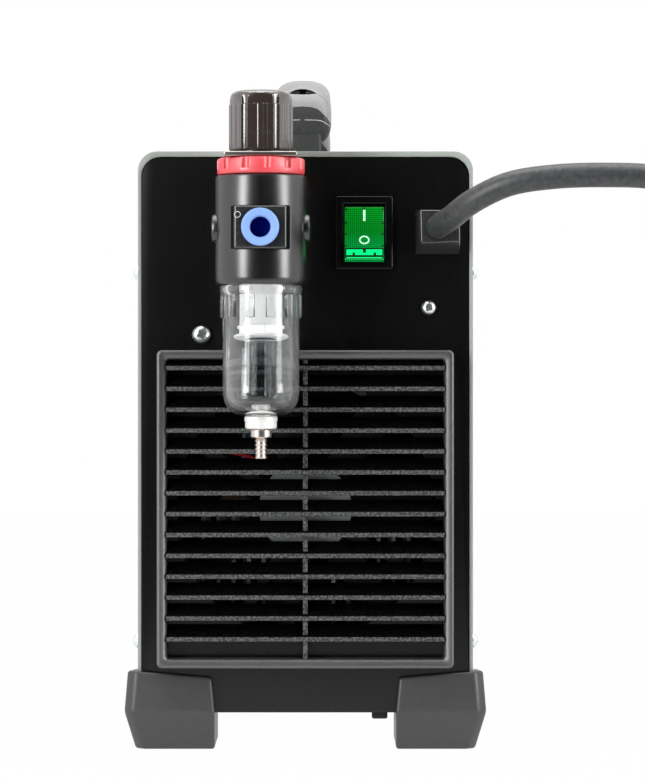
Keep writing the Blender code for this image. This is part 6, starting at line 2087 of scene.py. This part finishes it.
@dataclass
class CarryHandle(OnFrame):
    """Carrying handle: a bulb at each end and a raised grip, dark grey with painted light above.

    Attributes:
        x: Middle of the handle.
        stations: Sections from either end: distance in, underside and top above the
            case, half width.
        seam: Where the painted light top meets the dark body: distance from the middle, height
            above the case.
        parting: The mould's parting line on the dark bulb, given in the same way; its white bead
            is a painted highlight.
        crease: The fine edge from the strap slot down the end's painted light top.
        section: Points round a section.
        slot_rise: Height of the strap slot above the case.
        foot: Size of the block under each end.
        foot_inset: Distance of that block from the end.
        bar_inset: Distance of the strap slot's blocks from the end.
    """

    x: float = -0.0015
    stations: tuple[tuple[float, float, float, float], ...] = (
        (0.0000, 0.0160, 0.0190, 0.0045), (0.0002, 0.0145, 0.0205, 0.0085),
        (0.0010, 0.0112, 0.0238, 0.0108), (0.0025, 0.0090, 0.0264, 0.0120),
        (0.0050, 0.0071, 0.0292, 0.0127), (0.0085, 0.0060, 0.0318, 0.0130),
        (0.0130, 0.0060, 0.0334, 0.0130), (0.0190, 0.0060, 0.0342, 0.0129),
        (0.0218, 0.0072, 0.0345, 0.0128), (0.0250, 0.0115, 0.0349, 0.0127),
        (0.0285, 0.0162, 0.0353, 0.0126), (0.0340, 0.0187, 0.0360, 0.0125),
        (0.0450, 0.0195, 0.0371, 0.0123), (0.0700, 0.0195, 0.0383, 0.0120),
        (0.0980, 0.0195, 0.0385, 0.0120),
    )
    seam: tuple[Point2, ...] = (
        (0.0, 0.0221), (0.0040, 0.0218), (0.0070, 0.0208), (0.0108, 0.0173), (0.0125, 0.0149),
        (0.0150, 0.0110),
    )
    parting: tuple[Point2, ...] = (
        (0.0010, 0.0160), (0.0073, 0.0158), (0.0100, 0.0148), (0.0125, 0.0133),
    )
    crease: tuple[Point2, ...] = (
        (0.0066, 0.0277), (0.0085, 0.0268), (0.0104, 0.0252), (0.0118, 0.0230),
    )
    section: int = 56
    slot_rise: float = 0.0282
    foot: Point3 = (0.0170, 0.0185, 0.014)
    foot_inset: float = 0.01125
    bar_inset: float = 0.0105

    def build(self) -> None:
        """Makes the top with its painted light, the dark body, the lines on them and the feet."""
        self.low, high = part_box("handle")
        self.middle = (self.low[1] + high[1]) / 2.0
        self.half = (high[1] - self.low[1]) / 2.0
        self._painted_light_top()
        self._dark_body()
        self._lines()
        self._slot_blocks()
        dress("handle_screw_front", ZINC)
        dress("handle_screw_rear", ZINC)

    def _painted_light_top(self) -> None:
        """The shell above the seam, painted light grey for the top lamp's light, with a strap slot
        in each end.
        """
        slot = arc(0.0104, 52.0, 128.0, 12, (0.0, -0.0082))
        slot += [(-0.0030, -0.0005), (0.0030, -0.0005)]
        tools = []
        for end in (-1, 1):
            y = self.middle + end * (self.half - 0.008) + 0.009
            at = (self.x, y, self.layout.top + self.slot_rise)
            tools.append(Shape.prism(slot, 0.0, 0.018).moved(Facing.REAR.matrix(at)))
        light = self._shell().minus(self._side(-0.01)).minus(*tools)
        light.finished("handle_top", HANDLE_PAINTED_LIGHT, stands_for=["handle"], smooth=50.0)

    def _dark_body(self) -> None:
        """The dark shell below the seam, with a foot under each end."""
        dark = self._shell().minus(self._side(0.06))
        feet = []
        for end in (-1, 1):
            at = (self.x, self.middle + end * (self.half - self.foot_inset), self.low[2] + 0.007)
            feet.append(Shape.box(self.foot, at).bevel(0.0015, 3))
        dark.with_copies(feet)
        dark.finished("handle_body", HANDLE_DARK, stands_for=["handle"], smooth=50.0)

    def _shell(self) -> Shape:
        """Makes the whole handle as one skin, smooth through its stations.

        Returns:
            The shape.
        """
        knots = [Vector(station) for station in self.stations]
        ends = [knots[0], *knots, knots[-1]]
        rows = []
        for four in zip(ends, ends[1:], ends[2:], ends[3:]):
            rows += [curved(*four, t) for t in (0.0, 0.25, 0.5, 0.75)]
        rows.append(knots[-1])
        rings = [self._ring(self.middle - self.half + run, *sizes) for run, *sizes in rows]
        rows.reverse()
        rings += [self._ring(self.middle + self.half - run, *sizes) for run, *sizes in rows]
        return Shape.loft(rings)

    def _ring(self, y: float, low: float, high: float, half_width: float) -> list[Point3]:
        """Draws one section: a full dome above its middle and a squarer belly below.

        Args:
            y: Place of the section along the handle.
            low: Its underside above the case.
            high: Its top above the case.
            half_width: Half its width.

        Returns:
            The section's points.
        """
        centre, half_height = (high + low) / 2.0, (high - low) / 2.0
        ring = []
        for i in range(self.section):
            turn = 2.0 * math.pi * i / self.section
            across, up = math.cos(turn), math.sin(turn)
            power = 2.0 / (2.6 if up > 0.0 else 3.6)
            x = half_width * math.copysign(abs(across) ** power, across)
            z = centre + half_height * math.copysign(abs(up) ** power, up)
            ring.append((self.x + x, y, self.layout.top + z))
        return ring

    def _side(self, far: float) -> Shape:
        """Makes a block along the handle that takes away one side of the seam.

        Args:
            far: Height of the block's far side above the case.

        Returns:
            The shape.
        """
        left = [(-x, z) for x, z in reversed(self.seam[1:])]
        edge = self.seam[-1][0]
        outline = [*left, *self.seam, (edge, far), (-edge, far)]
        block = Shape.prism(outline, -self.half - 0.002, self.half + 0.002)
        return block.moved(Facing.REAR.matrix((self.x, self.middle, self.layout.top)))

    def _lines(self) -> None:
        """Fine raised lines that follow the ends: the white parting line is a painted highlight,
        and the crease takes the top's painted light.
        """
        shell = self._shell()
        tree = BVHTree.FromBMesh(shell.bm)
        shell.bm.free()
        for name, line, finish, radius in (
            # The parting line's white is a painted highlight on the mould's step.
            ("parting", self.parting, MARK_WHITE, 0.00012),
            ("crease", self.crease, HANDLE_PAINTED_LIGHT, 0.00016),
        ):
            beads = []
            for end in (-1, 1):
                y = self.middle + end * (self.half + 0.01)
                for side, _ in SIDES:
                    places = [(self.x + side * x, y, self.layout.top + z) for x, z in line]
                    route = smooth_path([Vector(place) for place in places], 0.0006)
                    hits = [tree.ray_cast(point, Vector((0.0, -end, 0.0)))[0] for point in route]
                    beads.append(Shape.sweep([hit for hit in hits if hit], radius, 8))
            Shape.group(beads).finished(f"handle_{name}_line", finish)

    def _slot_blocks(self) -> None:
        """Two blocks in each strap slot, with a dark gap between them."""
        blocks = []
        z = self.layout.top + self.slot_rise + 0.0004
        for end in (-1, 1):
            for side, _ in SIDES:
                at = (self.x + side * 0.0036, self.middle + end * (self.half - self.bar_inset), z)
                blocks.append(Shape.box((0.0042, 0.0060, 0.0017), at).bevel(0.0003, 2))
        Shape.group(blocks).finished("strap_bar", HANDLE_DARK)


# -------- control panel


@dataclass
class ControlPanel(OnFrame):
    """The front: display, lamps, dial, mode switch and sockets.

    Attributes:
        ticks: Marks of the dial's scale.
        sweep: Angle of the whole scale, in degrees.
        long_every: How many marks apart the long ones are.
        rounding: Rounding of the controls' edges.
    """

    ticks: int = 11
    sweep: float = 300.0
    long_every: int = 5
    rounding: float = 0.0002

    def build(self) -> None:
        """Dresses the controls and adds the dial's scale."""
        dress("display_window", WINDOW_DARK, self.rounding)
        dress("lamp_strip", LAMP_AMBER)
        for node in ("current_knob", "mode_bezel", "mode_rocker"):
            dress(node, SMOOTH_BLACK, self.rounding)
        dress("potentiometer", ZINC)
        dress("torch_connector", BRASS, self.rounding)
        dress("earth_socket", SATIN_BLACK, self.rounding)
        dress("signal_socket", ZINC, self.rounding)
        self._scale()

    def _scale(self) -> None:
        """Tick marks round the current dial, and the dial's pointer."""
        low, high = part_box("current_knob")
        x, z = (low[0] + high[0]) / 2.0, (low[2] + high[2]) / 2.0
        radius = (high[0] - low[0]) / 2.0
        at = Matrix.Translation((x, self.layout.front + 0.00008, z))
        marks = []
        for i in range(self.ticks):
            angle = self.sweep * (i / (self.ticks - 1) - 0.5)
            length = 0.0022 if i % self.long_every else 0.0034
            middle = (0.0, 0.0, radius + 0.0022 + length / 2.0)
            mark = Shape.box((0.0007, 0.00016, length), middle)
            marks.append(mark.moved(at @ spun(angle, "Y")))
        Shape.group(marks).finished("dial_scale", MARK_WHITE)
        pointer_at = (x, high[1] + 0.00005, z + radius * 0.44)
        pointer = Shape.box((0.0011, 0.00016, 0.0085), pointer_at)
        pointer.finished("dial_pointer", MARK_WHITE, Body.DIAL)


@dataclass
class Internals:
    """What the case holds: board, heat sinks, transformer, valve and hose.

    Attributes:
        finishes: The finish of each inner piece.
    """

    finishes: tuple[tuple[str, Finish], ...] = (
        ("main_board", BOARD_GREEN),
        ("heat_sink_left", ALUMINIUM),
        ("heat_sink_right", ALUMINIUM),
        ("transformer_core", FERRITE),
        ("transformer_winding", COPPER),
        ("capacitor", SMOOTH_BLACK),
        ("air_valve", BRASS),
        ("valve_coil", SATIN_BLACK),
        ("outlet_elbow", BRASS),
        ("air_hose", COLLAR_BLUE),
    )

    def build(self) -> None:
        """Gives each inner piece its finish."""
        for node, finish in self.finishes:
            dress(node, finish)


# -------- main


def main() -> None:
    """Builds the whole picture."""
    logging.basicConfig(level=logging.INFO, format="%(message)s")
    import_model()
    layout = Layout.read()
    Studio(layout).build()
    CordEntry(layout).build()
    MainsCord(layout).build()
    CaseShell(layout).build()
    CornerFeet(layout).build()
    FanGrille(layout).build()
    PowerSwitch(layout).build()
    FilterRegulator(layout).build()
    CarryHandle(layout).build()
    ControlPanel(layout).build()
    Internals().build()


if __name__ == "__main__":
    main()
